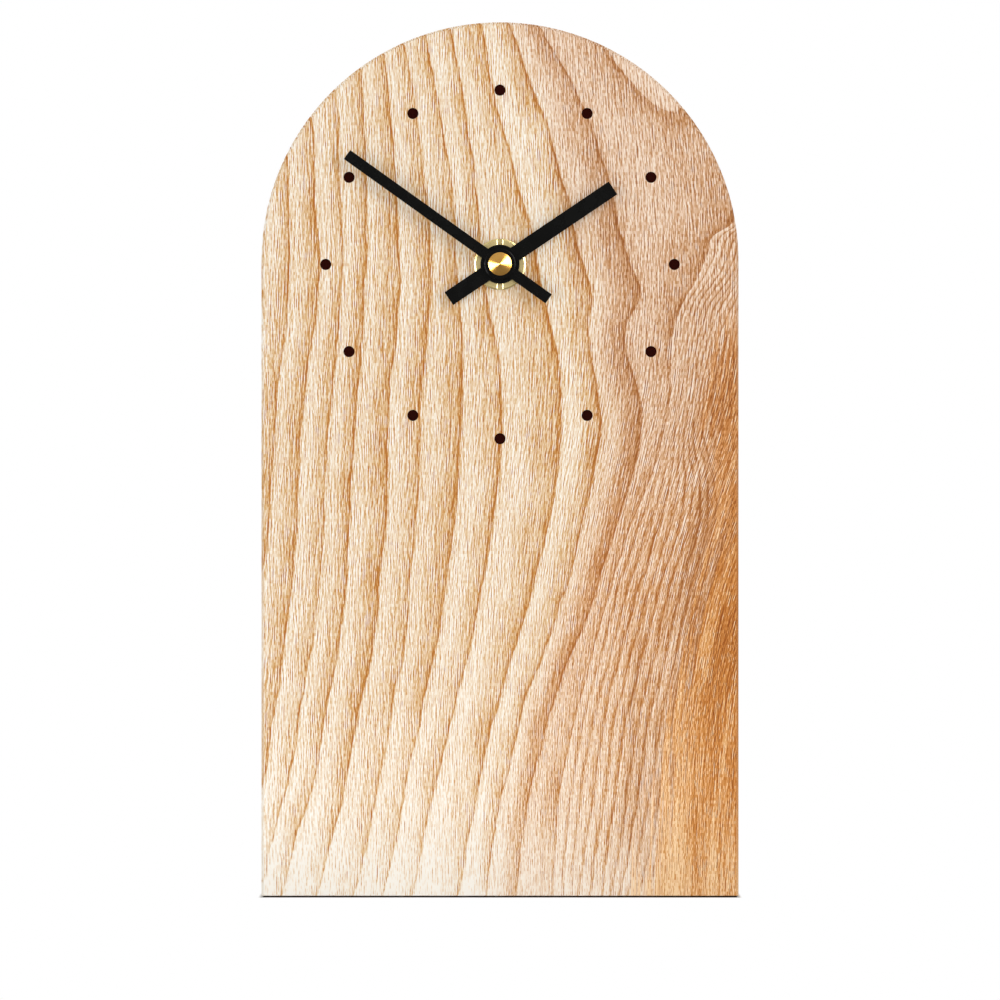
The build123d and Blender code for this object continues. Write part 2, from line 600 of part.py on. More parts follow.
# Motion wheel: takes the minute tube's turn down to a twelfth for the hour wheel
with BuildPart() as motion_wheel:
    with BuildSketch(dial_plane(MOTION_REAR, MOTION_AXIS)):
        Polygon(*gear_outline(MOTION_TEETH, MOTION_MODULE, MOTION_TOOTH))
    extrude(amount=WHEEL_FACE)
    with BuildSketch(dial_plane(MOTION_FRONT, MOTION_AXIS)):
        Polygon(*gear_outline(MOTION_PINION_TEETH, HOUR_MODULE, MOTION_PINION_TOOTH))
    extrude(amount=MOTION_FRONT - MOTION_PINION_FRONT)
    with BuildSketch(dial_plane(MOTION_REAR, MOTION_AXIS)):
        Circle(MOTION_STUD_DIAMETER / 2 + RUNNING_CLEARANCE)
    extrude(amount=MOTION_REAR - MOTION_PINION_FRONT, mode=Mode.SUBTRACT)
motion_wheel.part.label = "motion_wheel"
export_step(motion_wheel.part, "parts/motion_wheel.step")

# Setting pinion on the arbor of the knob
with BuildPart() as setting_pinion:
    with BuildSketch(plan_plane(SETTING_AXIS)):
        Polygon(
            *turned(
                CANNON_FRONT - PIVOT_LENGTH,
                (PIVOT_DIAMETER, CANNON_FRONT),
                (SETTING_ARBOR_DIAMETER, KNOB_FRONT),
            )
        )
    revolve(axis=spin_axis(SETTING_AXIS))
    with BuildSketch(dial_plane(CANNON_REAR, SETTING_AXIS)):
        Polygon(*gear_outline(SETTING_TEETH, MOTION_MODULE, SETTING_TOOTH))
    extrude(amount=CANNON_REAR - CANNON_FRONT)
    with BuildSketch(dial_plane(KNOB_REAR - CASE_WALL, SETTING_AXIS)):
        Circle(SETTING_ARBOR_DIAMETER / 2)
        Rectangle(SETTING_FLATS, SETTING_ARBOR_DIAMETER, mode=Mode.INTERSECT)
    extrude(amount=KNOB_THICKNESS - CASE_WALL)
setting_pinion.part.label = "setting_pinion"
export_step(setting_pinion.part, "parts/setting_pinion.step")

# Setting knob with a ribbed rim
with BuildPart() as set_knob:
    with BuildSketch(dial_plane(KNOB_REAR, SETTING_AXIS)):
        Polygon(*ribbed_outline(KNOB_RIBS, KNOB_DIAMETER / 2, KNOB_RIB_DEPTH))
    extrude(amount=KNOB_THICKNESS)
    with BuildSketch(dial_plane(KNOB_REAR - CASE_WALL, SETTING_AXIS)):
        Circle(SETTING_ARBOR_DIAMETER / 2)
        Rectangle(SETTING_FLATS, SETTING_ARBOR_DIAMETER, mode=Mode.INTERSECT)
    extrude(amount=KNOB_THICKNESS - CASE_WALL, mode=Mode.SUBTRACT)
set_knob.part.label = "set_knob"
export_step(set_knob.part, "parts/set_knob.step")

# Minute wheel: slips on the minute tube when the hands are set
with BuildPart() as minute_wheel:
    with BuildSketch(dial_plane(MINUTE_REAR)):
        Polygon(*gear_outline(MINUTE_TEETH, MINUTE_MODULE, MINUTE_TOOTH))
        Circle(MINUTE_TUBE_DIAMETER / 2 + RUNNING_CLEARANCE, mode=Mode.SUBTRACT)
    extrude(amount=WHEEL_FACE)
minute_wheel.part.label = "minute_wheel"
export_step(minute_wheel.part, "parts/minute_wheel.step")

# Spring washer that holds the minute wheel on the tube
with BuildPart() as clutch_washer:
    with BuildSketch(dial_plane(CLUTCH_REAR)):
        Circle(CLUTCH_DIAMETER / 2)
        Circle(MINUTE_TUBE_DIAMETER / 2, mode=Mode.SUBTRACT)
    extrude(amount=CLUTCH_THICKNESS)
clutch_washer.part.label = "clutch_washer"
export_step(clutch_washer.part, "parts/clutch_washer.step")

# Third wheel and pinion
with BuildPart() as third_wheel:
    with BuildSketch(plan_plane(THIRD_AXIS)):
        Polygon(
            *turned(
                THIRD_PINION_FRONT - PIVOT_LENGTH,
                (PIVOT_DIAMETER, THIRD_PINION_FRONT),
                (ARBOR_DIAMETER, BRIDGE_FRONT - END_SHAKE),
                (PIVOT_DIAMETER, BRIDGE_REAR),
            )
        )
    revolve(axis=spin_axis(THIRD_AXIS))
    with BuildSketch(dial_plane(THIRD_FRONT, THIRD_AXIS)):
        Polygon(*gear_outline(THIRD_PINION_TEETH, MINUTE_MODULE, THIRD_PINION_TOOTH))
    extrude(amount=THIRD_FRONT - THIRD_PINION_FRONT)
    with BuildSketch(dial_plane(THIRD_REAR, THIRD_AXIS)):
        Polygon(*gear_outline(THIRD_TEETH, THIRD_MODULE, THIRD_TOOTH))
    extrude(amount=WHEEL_FACE)
third_wheel.part.label = "third_wheel"
export_step(third_wheel.part, "parts/third_wheel.step")

# Seconds wheel and pinion, moulded round their steel arbor
with BuildPart() as second_wheel:
    with BuildSketch(dial_plane(SECOND_FRONT)):
        Polygon(*gear_outline(SECOND_PINION_TEETH, THIRD_MODULE, SECOND_PINION_TOOTH))
    extrude(amount=SECOND_FRONT - SECOND_PINION_FRONT)
    with BuildSketch(dial_plane(SECOND_REAR)):
        Polygon(*gear_outline(SECOND_TEETH, SECOND_MODULE, SECOND_TOOTH))
    extrude(amount=WHEEL_FACE)
    with BuildSketch(dial_plane(SECOND_REAR)):
        Circle(SECOND_ARBOR_DIAMETER / 2)
    extrude(amount=SECOND_REAR - SECOND_PINION_FRONT, mode=Mode.SUBTRACT)
second_wheel.part.label = "second_wheel"
export_step(second_wheel.part, "parts/second_wheel.step")

# Steel arbor of the seconds wheel: runs inside the minute tube and in the bridge
with BuildPart() as second_arbor:
    with BuildSketch(plan_plane()):
        Polygon(
            *turned(
                -SECOND_ARBOR_REACH,
                (SECOND_ARBOR_DIAMETER, BRIDGE_FRONT - END_SHAKE),
                (PIVOT_DIAMETER, BRIDGE_REAR),
            )
        )
    revolve(axis=spin_axis())
second_arbor.part.label = "second_arbor"
export_step(second_arbor.part, "parts/second_arbor.step")

# Intermediate wheel and pinion
with BuildPart() as intermediate_wheel:
    with BuildSketch(plan_plane(INTERMEDIATE_AXIS)):
        Polygon(
            *turned(
                INTERMEDIATE_PINION_FRONT - PIVOT_LENGTH,
                (PIVOT_DIAMETER, INTERMEDIATE_PINION_FRONT),
                (ARBOR_DIAMETER, BRIDGE_FRONT - END_SHAKE),
                (PIVOT_DIAMETER, BRIDGE_REAR),
            )
        )
    revolve(axis=spin_axis(INTERMEDIATE_AXIS))
    with BuildSketch(dial_plane(INTERMEDIATE_FRONT, INTERMEDIATE_AXIS)):
        Polygon(*gear_outline(INTERMEDIATE_PINION_TEETH, SECOND_MODULE, INTERMEDIATE_PINION_TOOTH))
    extrude(amount=INTERMEDIATE_FRONT - INTERMEDIATE_PINION_FRONT)
    with BuildSketch(dial_plane(INTERMEDIATE_REAR, INTERMEDIATE_AXIS)):
        Polygon(*gear_outline(INTERMEDIATE_TEETH, ROTOR_MODULE, INTERMEDIATE_TOOTH))
    extrude(amount=WHEEL_FACE)
intermediate_wheel.part.label = "intermediate_wheel"
export_step(intermediate_wheel.part, "parts/intermediate_wheel.step")

# Rotor pinion and arbor of the stepping motor
with BuildPart() as rotor_pinion:
    with BuildSketch(plan_plane(ROTOR_AXIS)):
        Polygon(
            *turned(
                ROTOR_PINION_FRONT - PIVOT_LENGTH,
                (PIVOT_DIAMETER, ROTOR_PINION_FRONT),
                (ARBOR_DIAMETER, BRIDGE_FRONT - END_SHAKE),
                (PIVOT_DIAMETER, BRIDGE_REAR),
            )
        )
    revolve(axis=spin_axis(ROTOR_AXIS))
    with BuildSketch(dial_plane(MAGNET_FRONT, ROTOR_AXIS)):
        Polygon(*gear_outline(ROTOR_TEETH, ROTOR_MODULE, ROTOR_TOOTH))
    extrude(amount=MAGNET_FRONT - ROTOR_PINION_FRONT)
rotor_pinion.part.label = "rotor_pinion"
export_step(rotor_pinion.part, "parts/rotor_pinion.step")

# Two-pole magnet on the rotor arbor
with BuildPart() as rotor_magnet:
    with BuildSketch(dial_plane(MAGNET_REAR, ROTOR_AXIS)):
        Circle(MAGNET_DIAMETER / 2)
        Circle(ARBOR_DIAMETER / 2, mode=Mode.SUBTRACT)
    extrude(amount=MAGNET_LENGTH)
rotor_magnet.part.label = "rotor_magnet"
export_step(rotor_magnet.part, "parts/rotor_magnet.step")

# Stator plate: a C of soft iron round the rotor, with two notches that set its rest position
with BuildPart() as stator:
    with BuildSketch(dial_plane(STATOR_REAR)):
        with Locations(((STATOR_LEFT + STATOR_RIGHT) / 2, (STATOR_BOTTOM + STATOR_TOP) / 2)):
            Rectangle(STATOR_RIGHT - STATOR_LEFT, STATOR_TOP - STATOR_BOTTOM)
        with Locations(((STATOR_LEFT + STATOR_RIGHT - STATOR_POLE_WIDTH) / 2, (STATOR_BOTTOM + STATOR_TOP) / 2)):
            Rectangle(
                STATOR_RIGHT - STATOR_LEFT - STATOR_POLE_WIDTH,
                STATOR_TOP - STATOR_BOTTOM - 2 * STATOR_LEG,
                mode=Mode.SUBTRACT,
            )
        with Locations(ROTOR_AXIS):
            Circle(MAGNET_DIAMETER / 2 + ROTOR_AIR_GAP, mode=Mode.SUBTRACT)
            with PolarLocations(MAGNET_DIAMETER / 2 + ROTOR_AIR_GAP, 2, start_angle=45):
                Circle(ROTOR_NOTCH_DIAMETER / 2, mode=Mode.SUBTRACT)
        with Locations(*COIL_PINS):
            Rectangle(PIN_HOLE_SIDE, PIN_HOLE_SIDE, mode=Mode.SUBTRACT)
    extrude(amount=STATOR_THICKNESS)
stator.part.label = "stator"
export_step(stator.part, "parts/stator.step")

# Iron core through the coil, lying against the stator's two legs
with BuildPart() as coil_core:
    with BuildSketch(dial_plane(STATOR_FRONT)):
        with Locations((CORE_MIDDLE, (STATOR_BOTTOM + STATOR_TOP) / 2)):
            Rectangle(CORE_WIDTH, STATOR_TOP - STATOR_BOTTOM)
        with Locations(*COIL_PINS):
            Rectangle(PIN_HOLE_SIDE, PIN_HOLE_SIDE, mode=Mode.SUBTRACT)
    extrude(amount=CORE_THICKNESS)
coil_core.part.label = "coil_core"
export_step(coil_core.part, "parts/coil_core.step")

# Bobbin: a flat tube with two square flanges
with BuildPart() as coil_bobbin:
    with BuildSketch(coil_plane(BOBBIN_BOTTOM)):
        Rectangle(BOBBIN_FLANGE, BOBBIN_FLANGE)
    extrude(amount=BOBBIN_FLANGE_THICKNESS)
    with BuildSketch(coil_plane(WINDING_BOTTOM)):
        Rectangle(*BOBBIN_TUBE)
    extrude(amount=WINDING_LENGTH)
    with BuildSketch(coil_plane(WINDING_BOTTOM + WINDING_LENGTH)):
        Rectangle(BOBBIN_FLANGE, BOBBIN_FLANGE)
    extrude(amount=BOBBIN_FLANGE_THICKNESS)
    with BuildSketch(coil_plane(BOBBIN_BOTTOM)):
        Rectangle(*BOBBIN_BORE)
    extrude(amount=BOBBIN_TOP - BOBBIN_BOTTOM, mode=Mode.SUBTRACT)
coil_bobbin.part.label = "coil_bobbin"
export_step(coil_bobbin.part, "parts/coil_bobbin.step")

# Copper winding
with BuildPart() as coil_winding:
    with BuildSketch(coil_plane(WINDING_BOTTOM)):
        Circle(WINDING_DIAMETER / 2)
        Rectangle(*BOBBIN_TUBE, mode=Mode.SUBTRACT)
    extrude(amount=WINDING_LENGTH)
coil_winding.part.label = "coil_winding"
export_step(coil_winding.part, "parts/coil_winding.step")

# Bridge: the plate behind the wheels with their rear bearings
with BuildPart() as train_bridge:
    with BuildSketch(dial_plane(BRIDGE_REAR)):
        with Locations(*BRIDGE_POSTS, ROTOR_AXIS, THIRD_AXIS):
            Rectangle(BRIDGE_RIM, BRIDGE_RIM)
        make_hull()
        with Locations(*BRIDGE_POSTS):
            Rectangle(PIN_HOLE_SIDE, PIN_HOLE_SIDE, mode=Mode.SUBTRACT)
        with Locations((0, 0), THIRD_AXIS, INTERMEDIATE_AXIS, ROTOR_AXIS):
            Circle(PIVOT_DIAMETER / 2 + RUNNING_CLEARANCE, mode=Mode.SUBTRACT)
    extrude(amount=BRIDGE_THICKNESS)
train_bridge.part.label = "train_bridge"
export_step(train_bridge.part, "parts/train_bridge.step")

# Movement case: a tray with a gear room above a battery bay, open at the back
with BuildPart() as movement_case:
    with BuildSketch(dial_plane(CASE_DEPTH)):
        RectangleRounded(CASE_SIDE, CASE_SIDE, CASE_CORNER_RADIUS)
    extrude(amount=CASE_DEPTH)
    with BuildSketch(dial_plane(CASE_DEPTH)):
        Rectangle(2 * INNER_HALF, 2 * INNER_HALF)
    extrude(amount=COVER_THICKNESS, mode=Mode.SUBTRACT)
    with BuildSketch(dial_plane(COVER_FRONT)):
        with Locations((0, ROOM_BOTTOM + ROOM_HEIGHT / 2)):
            Rectangle(2 * INNER_HALF, ROOM_HEIGHT)
        with Locations((0, BAY_MIDDLE)):
            Rectangle(2 * INNER_HALF, BAY_HEIGHT)
    extrude(amount=COVER_FRONT - CASE_WALL, mode=Mode.SUBTRACT)
    with BuildSketch(dial_plane(COVER_FRONT)):
        with Locations(*PAD_PLACES):
            Rectangle(COVER_PAD, COVER_PAD)
    extrude(amount=COVER_FRONT - CASE_WALL)
    # Gaps at the two ends of the partition, where the contact strips pass
    with BuildSketch(dial_plane(COVER_FRONT)):
        for side in (-1, 1):
            with Locations((side * (INNER_HALF - CONTACT_THICKNESS), BAY_TOP + CASE_WALL / 2)):
                Rectangle(2 * CONTACT_THICKNESS, CASE_WALL)
    extrude(amount=COVER_FRONT - STRIP_REAR + CONTACT_HEIGHT + WINDOW_PLAY, mode=Mode.SUBTRACT)
    # Windows for the barbs of the cover
    for place, bearing in TAB_PLACES:
        with BuildSketch(dial_plane(BARB_REAR + WINDOW_PLAY, place, turn=bearing)):
            with Locations((0, CASE_WALL / 2)):
                Rectangle(TAB_WIDTH + 2 * WINDOW_PLAY, CASE_WALL)
        extrude(amount=BARB_LENGTH + 2 * WINDOW_PLAY, mode=Mode.SUBTRACT)
    # Seat of the bush
    with BuildSketch(dial_plane(CASE_WALL)):
        Circle(BUSH_DIAMETER / 2 + THREAD_GAP)
    extrude(amount=CASE_WALL, mode=Mode.SUBTRACT)
    with BuildSketch(dial_plane(CASE_WALL)):
        Circle(BUSH_FLANGE_DIAMETER / 2 + THREAD_GAP)
    extrude(amount=BUSH_FLANGE_THICKNESS, mode=Mode.SUBTRACT)
    # Stud of the motion wheel
    with BuildSketch(dial_plane(MOTION_REAR + AXIAL_GAP, MOTION_AXIS)):
        Circle(MOTION_STUD_DIAMETER / 2)
    extrude(amount=MOTION_REAR + AXIAL_GAP - CASE_WALL)
    # Posts with a blind bearing for each front pivot
    for axis, shoulder in (
        (SETTING_AXIS, CANNON_FRONT),
        (THIRD_AXIS, THIRD_PINION_FRONT),
        (INTERMEDIATE_AXIS, INTERMEDIATE_PINION_FRONT),
        (ROTOR_AXIS, ROTOR_PINION_FRONT),
    ):
        with BuildSketch(dial_plane(shoulder - END_SHAKE, axis)):
            Circle(POST_DIAMETER / 2)
        extrude(amount=shoulder - END_SHAKE - CASE_WALL)
        with BuildSketch(dial_plane(shoulder - END_SHAKE, axis)):
            Circle(PIVOT_DIAMETER / 2 + RUNNING_CLEARANCE)
        extrude(amount=PIVOT_LENGTH, mode=Mode.SUBTRACT)
    # Posts with pins for the bridge, the coil and the circuit board
    for places, shoulder, clamped in (
        (BRIDGE_POSTS, BRIDGE_FRONT, BRIDGE_THICKNESS),
        (COIL_PINS, CORE_FRONT, CORE_THICKNESS + STATOR_THICKNESS),
        (BOARD_POSTS, BOARD_FRONT, BOARD_THICKNESS),
    ):
        with BuildSketch(dial_plane(shoulder)):
            with Locations(*places):
                Rectangle(PIN_POST_SIDE, PIN_POST_SIDE)
        extrude(amount=shoulder - CASE_WALL)
        with BuildSketch(dial_plane(shoulder + clamped + PIN_REACH)):
            with Locations(*places):
                Rectangle(PIN_SIDE, PIN_SIDE)
        extrude(amount=clamped + PIN_REACH)
movement_case.part.label = "movement_case"
export_step(movement_case.part, "parts/movement_case.step")

# Cover over the gear room, held by four snap tabs
with BuildPart() as movement_cover:
    with BuildSketch(dial_plane(CASE_DEPTH)):
        with Locations((0, (INNER_HALF - COVER_FIT + BAY_TOP) / 2)):
            Rectangle(2 * (INNER_HALF - COVER_FIT), INNER_HALF - COVER_FIT - BAY_TOP)
        with Locations(SETTING_AXIS):
            Circle(SETTING_ARBOR_DIAMETER / 2 + RUNNING_CLEARANCE, mode=Mode.SUBTRACT)
    extrude(amount=COVER_THICKNESS)
    for place, bearing in TAB_PLACES:
        with BuildSketch(dial_plane(COVER_FRONT, place, turn=bearing)):
            with Locations((0, -COVER_FIT - TAB_THICKNESS / 2)):
                Rectangle(TAB_WIDTH, TAB_THICKNESS)
        extrude(amount=TAB_LENGTH)
        with BuildSketch(dial_plane(BARB_REAR, place, turn=bearing)):
            with Locations((0, (BARB_HEIGHT - COVER_FIT) / 2)):
                Rectangle(TAB_WIDTH, BARB_HEIGHT + COVER_FIT)
        extrude(amount=BARB_LENGTH)
movement_cover.part.label = "movement_cover"
export_step(movement_cover.part, "parts/movement_cover.step")

# Circuit board on its two posts
with BuildPart() as circuit_board:
    with BuildSketch(dial_plane(BOARD_REAR)):
        with Locations(BOARD_MIDDLE):
            Rectangle(BOARD_WIDTH, BOARD_HEIGHT)
        with Locations(*BOARD_POSTS):
            Rectangle(PIN_HOLE_SIDE, PIN_HOLE_SIDE, mode=Mode.SUBTRACT)
    extrude(amount=BOARD_THICKNESS)
circuit_board.part.label = "circuit_board"
export_step(circuit_board.part, "parts/circuit_board.step")

# Resin cap over the chip, narrowing away from the board
with BuildPart() as chip_cap:
    with BuildSketch(dial_plane(BOARD_REAR, CHIP_PLACE)):
        Rectangle(CHIP_SIDE, CHIP_SIDE)
    extrude(amount=-CHIP_HEIGHT, taper=CHIP_TAPER)
chip_cap.part.label = "chip_cap"
export_step(chip_cap.part, "parts/chip_cap.step")

# Quartz crystal in a metal can that lies on the board
with BuildPart() as quartz_crystal:
    crystal_origin = (
        CRYSTAL_PLACE[0],
        MOVEMENT_FRONT + BOARD_REAR + CRYSTAL_DIAMETER / 2,
        DIAL_HEIGHT + CRYSTAL_PLACE[1] - CRYSTAL_LENGTH / 2,
    )
    with BuildSketch(Plane(origin=crystal_origin, x_dir=(1, 0, 0), z_dir=(0, 0, 1))):
        Circle(CRYSTAL_DIAMETER / 2)
    extrude(amount=CRYSTAL_LENGTH)
quartz_crystal.part.label = "quartz_crystal"
export_step(quartz_crystal.part, "parts/quartz_crystal.step")

# Positive contact: a plate at the battery's right end and a riser to the board
with BuildPart() as contact_positive:
    with BuildSketch(plan_plane((0, BAY_MIDDLE))):
        with Locations((INNER_HALF - CONTACT_THICKNESS / 2, BATTERY_DEPTH)):
            Rectangle(CONTACT_THICKNESS, SPRING_LENGTH)
    extrude(amount=CONTACT_WIDTH / 2, both=True)
    with BuildSketch(plan_plane((0, BAY_MIDDLE))):
        with Locations((INNER_HALF - CONTACT_THICKNESS / 2, STRIP_REAR - CONTACT_HEIGHT / 2)):
            Rectangle(CONTACT_THICKNESS, CONTACT_HEIGHT)
    extrude(amount=BOARD_MIDDLE[1] - BAY_MIDDLE)
contact_positive.part.label = "contact_positive"
export_step(contact_positive.part, "parts/contact_positive.step")

# Negative contact: a bowed spring, a riser and a strip along the partition to the board
with BuildPart() as contact_negative:
    with BuildSketch(plan_plane((0, BAY_MIDDLE))):
        Polygon(
            (-INNER_HALF, BATTERY_DEPTH - SPRING_LENGTH / 2),
            (BATTERY_TAIL, BATTERY_DEPTH - SPRING_CREST / 2),
            (BATTERY_TAIL, BATTERY_DEPTH + SPRING_CREST / 2),
            (-INNER_HALF, BATTERY_DEPTH + SPRING_LENGTH / 2),
            (-INNER_HALF, BATTERY_DEPTH + SPRING_LENGTH / 2 - 2 * CONTACT_THICKNESS),
            (BATTERY_TAIL - CONTACT_THICKNESS, BATTERY_DEPTH + SPRING_CREST / 2 - CONTACT_THICKNESS),
            (BATTERY_TAIL - CONTACT_THICKNESS, BATTERY_DEPTH - SPRING_CREST / 2 + CONTACT_THICKNESS),
            (-INNER_HALF, BATTERY_DEPTH - SPRING_LENGTH / 2 + 2 * CONTACT_THICKNESS),
        )
    extrude(amount=CONTACT_WIDTH / 2, both=True)
    with BuildSketch(plan_plane((0, BAY_MIDDLE - CONTACT_WIDTH / 2))):
        with Locations((CONTACT_THICKNESS / 2 - INNER_HALF, STRIP_REAR - CONTACT_HEIGHT / 2)):
            Rectangle(CONTACT_THICKNESS, CONTACT_HEIGHT)
    extrude(amount=BOARD_BOTTOM - BAY_MIDDLE + CONTACT_WIDTH / 2)
    with BuildSketch(dial_plane(STRIP_REAR)):
        with Locations(((BOARD_MIDDLE[0] - INNER_HALF) / 2, ROOM_BOTTOM + CONTACT_THICKNESS / 2)):
            Rectangle(BOARD_MIDDLE[0] + INNER_HALF, CONTACT_THICKNESS)
    extrude(amount=CONTACT_HEIGHT)
contact_negative.part.label = "contact_negative"
export_step(contact_negative.part, "parts/contact_negative.step")

# Battery, lying across the bay with its positive end on the right
with BuildPart() as battery:
    battery_origin = (BATTERY_TAIL, MOVEMENT_FRONT + BATTERY_DEPTH, DIAL_HEIGHT + BAY_MIDDLE)
    with BuildSketch(Plane(origin=battery_origin, x_dir=(0, 1, 0), z_dir=(1, 0, 0))):
        Circle(BATTERY_DIAMETER / 2)
    extrude(amount=BATTERY_LENGTH - BATTERY_NUB_LENGTH)
    chamfer(battery.edges().filter_by(GeomType.CIRCLE), BATTERY_EDGE)
    with BuildSketch(Plane(origin=battery_origin, x_dir=(0, 1, 0), z_dir=(1, 0, 0))):
        Circle(BATTERY_NUB_DIAMETER / 2)
    extrude(amount=BATTERY_LENGTH)
battery.part.label = "battery"
export_step(battery.part, "parts/battery.step")
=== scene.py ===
import math

import bmesh
import bpy
from mathutils import Matrix, Vector


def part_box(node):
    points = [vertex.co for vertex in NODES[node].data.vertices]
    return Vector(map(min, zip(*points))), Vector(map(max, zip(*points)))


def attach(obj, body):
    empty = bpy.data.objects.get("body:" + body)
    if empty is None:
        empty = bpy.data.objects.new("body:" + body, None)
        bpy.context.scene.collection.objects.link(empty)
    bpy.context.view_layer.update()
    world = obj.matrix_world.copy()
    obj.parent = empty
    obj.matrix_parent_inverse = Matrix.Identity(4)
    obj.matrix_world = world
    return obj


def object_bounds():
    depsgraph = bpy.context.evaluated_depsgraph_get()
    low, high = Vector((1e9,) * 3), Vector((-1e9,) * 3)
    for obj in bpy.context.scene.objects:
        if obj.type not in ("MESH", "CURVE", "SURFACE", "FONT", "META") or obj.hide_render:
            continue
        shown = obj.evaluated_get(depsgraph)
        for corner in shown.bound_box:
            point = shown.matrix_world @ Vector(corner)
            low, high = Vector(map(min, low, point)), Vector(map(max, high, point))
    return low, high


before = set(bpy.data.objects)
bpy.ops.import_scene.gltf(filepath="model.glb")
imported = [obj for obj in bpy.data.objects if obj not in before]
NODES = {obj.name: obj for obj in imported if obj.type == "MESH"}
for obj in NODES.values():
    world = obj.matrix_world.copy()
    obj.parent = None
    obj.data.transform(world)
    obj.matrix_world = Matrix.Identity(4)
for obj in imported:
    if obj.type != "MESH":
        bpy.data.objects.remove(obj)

# Looks of a wooden desk clock: an arched ash board, dark dowels for hours, black hands on a brass hub.
# Lengths are metres, as in the frame. Patterns are worked out in millimetres.

MM = 0.001
CAD_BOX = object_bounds()

# The photograph: a level view, square to the face
PICTURE_WIDTH = 0.2725
CAMERA_DISTANCE = 4.0
CAMERA_HEIGHT = 0.1083
SENSOR_WIDTH = 36.0

# Two strip lamps in front, where the cap nut's cone mirrors them: name, turn about the axis, length
STRIPS = (("strip_left", 190, 0.45), ("strip_right", 20, 0.65))
STRIP_BEARING = 32.9
STRIP_DISTANCE = 1.0
STRIP_WIDTH = 0.08
STRIP_POWER_PER_METRE = 3.7
# Soft light from all round, and a glow round the viewer that keeps the shadows behind the hands. Where one
# gives way to the other goes by how far a direction points to the rear: -1 is straight at the viewer
FRONT_FILL = 0.46
REAR_FILL = 0.72
FILL_CHANGE = (-0.3, 0.2)
FRONT_GLOW = 4.3
GLOW_EDGE = (-0.985, -0.955)
# What metal mirrors: grey on the viewer's side, darker below than above, and white behind the clock
VIEWER_SIDE_LEVELS = (0.35, 0.75)
VIEWER_SIDE_RISE = (-0.5, 0.5)
BACKDROP_CHANGE = (-0.6, 0.1)

# The table top, and the lengths over which the shadow at the foot fades into plain white, in millimetres:
# sideways, forwards, upwards
FLOOR_RADIUS = 0.16
FLOOR_SEGMENTS = 96
FLOOR_COLOUR = "F2F2F0"
FLOOR_ROUGHNESS = 0.9
FLOOR_FADE = (1.2, 6.0, 1.0)

# Places read from the frame
BODY_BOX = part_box("wood_body")
FACE_Y = BODY_BOX[0].y
HUB = (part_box("cap_nut")[0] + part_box("cap_nut")[1]) / 2
KNOB = (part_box("set_knob")[0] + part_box("set_knob")[1]) / 2
COVER_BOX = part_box("movement_cover")
CELL_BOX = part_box("battery")
COIL_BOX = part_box("coil_winding")
BUSH_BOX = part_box("threaded_bush")
NUT_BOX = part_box("mounting_nut")

# Edges of the growth rings on the face, drawn in millimetres: a ring's number, then the points
# (height, distance right of the middle) that its dark line passes
RING_LINES = (
    (-2, ((236, -78), (174, -73), (130, -77), (48, -86), (2, -96))),
    (1, ((236, -54.5), (204, -51), (174, -49), (130, -53), (92, -56), (48, -61.5), (2, -71.5))),
    (3, ((236, -40.5), (204, -36), (155, -36.5), (130, -38.5), (92, -41), (48, -47.5), (2, -58.5))),
    (5, ((236, -27), (204, -21.5), (174, -18.5), (130, -21.5), (92, -23.5), (48, -30), (2, -40))),
    (7, ((236, -12.5), (204, -7.5), (174, -4.5), (130, 0), (92, -3.5), (48, -14), (2, -23.5))),
    (8, ((236, -4), (204, 2), (174, 10.5), (130, 17), (92, 11), (48, -2), (2, -11))),
    (10, (
        (236, 12.5), (204, 27), (174, 34.5), (165, 38), (155, 34),
        (130, 38), (92, 28.5), (48, 13), (2, 5),
    )),
    (11, (
        (236, 52), (204, 66), (184, 64), (180, 58), (174, 56),
        (155, 47), (130, 45), (92, 33), (48, 20), (2, 15),
    )),
    (20, (
        (236, 104), (204, 98), (174, 74), (157, 61), (131, 55),
        (104, 58.5), (84, 54.5), (48, 47), (22, 43.5), (2, 38),
    )),
    (44, ((236, 164), (204, 158), (174, 134), (155, 120), (130, 116), (92, 116), (48, 107), (2, 103))),
)
# The rings over which wide ones give way to narrow ones
NARROW_START = (10.8, 11.4)
# Going into the board the rings drift sideways, so that its sides and ends show them too
RING_DRIFT = 0.8
# Near the top right the saw cut the crown of a ring: the ring count has a low hill there. Its centre and
# size are in millimetres, its reach is counted in sizes, and its rise in rings
CROWN_CENTRE = (31.0, 0.0, 237.0)
CROWN_TURN = math.radians(-28)
CROWN_SIZE = (11.0, 60.0, 33.5)
CROWN_REACH = 2.0
CROWN_RISE = 0.74

# A fibre near the right edge: heights and shifts to the right. Going left, less and less of it is left
FIBRE_LINE = (
    (236, 0),
    (174, 4),
    (150, 3),
    (130, 0),
    (110, -5.5),
    (92, -11),
    (70, -17),
    (48, -21),
    (25, -23),
    (2, -24),
)
FIBRE_SHARE = ((-65, 0.1), (0, 0.24), (30, 0.7), (50, 1.0))
# On the sides, past the chamfer, the fibres run straight up. Its width in millimetres
EDGE_CHAMFER = 0.6
# Grain patterns: name, width and length of one patch in millimetres, and detail
GRAIN_PATTERNS = (
    ("sway", 26, 48, 1.0),
    ("ripple", 7, 11, 2.0),
    ("streak", 5, 45, 1.0),
    ("vein", 0.8, 30, 1.0),
    ("thread", 0.9, 22, 1.0),
)
NOISE_MEAN = 0.5
# Pores and specks in millimetres. Real pores are 0.2 mm wide: drawn wider, so that they show.
# A fibre's tone changes over its length, in many small steps
FIBRE_WIDTH = 0.26
FIBRE_LENGTH = 4.5
FIBRE_STEPS = 100
FIBRE_DETAIL = 2.0
SPECK_SIZE = (0.27, 0.27, 0.8)
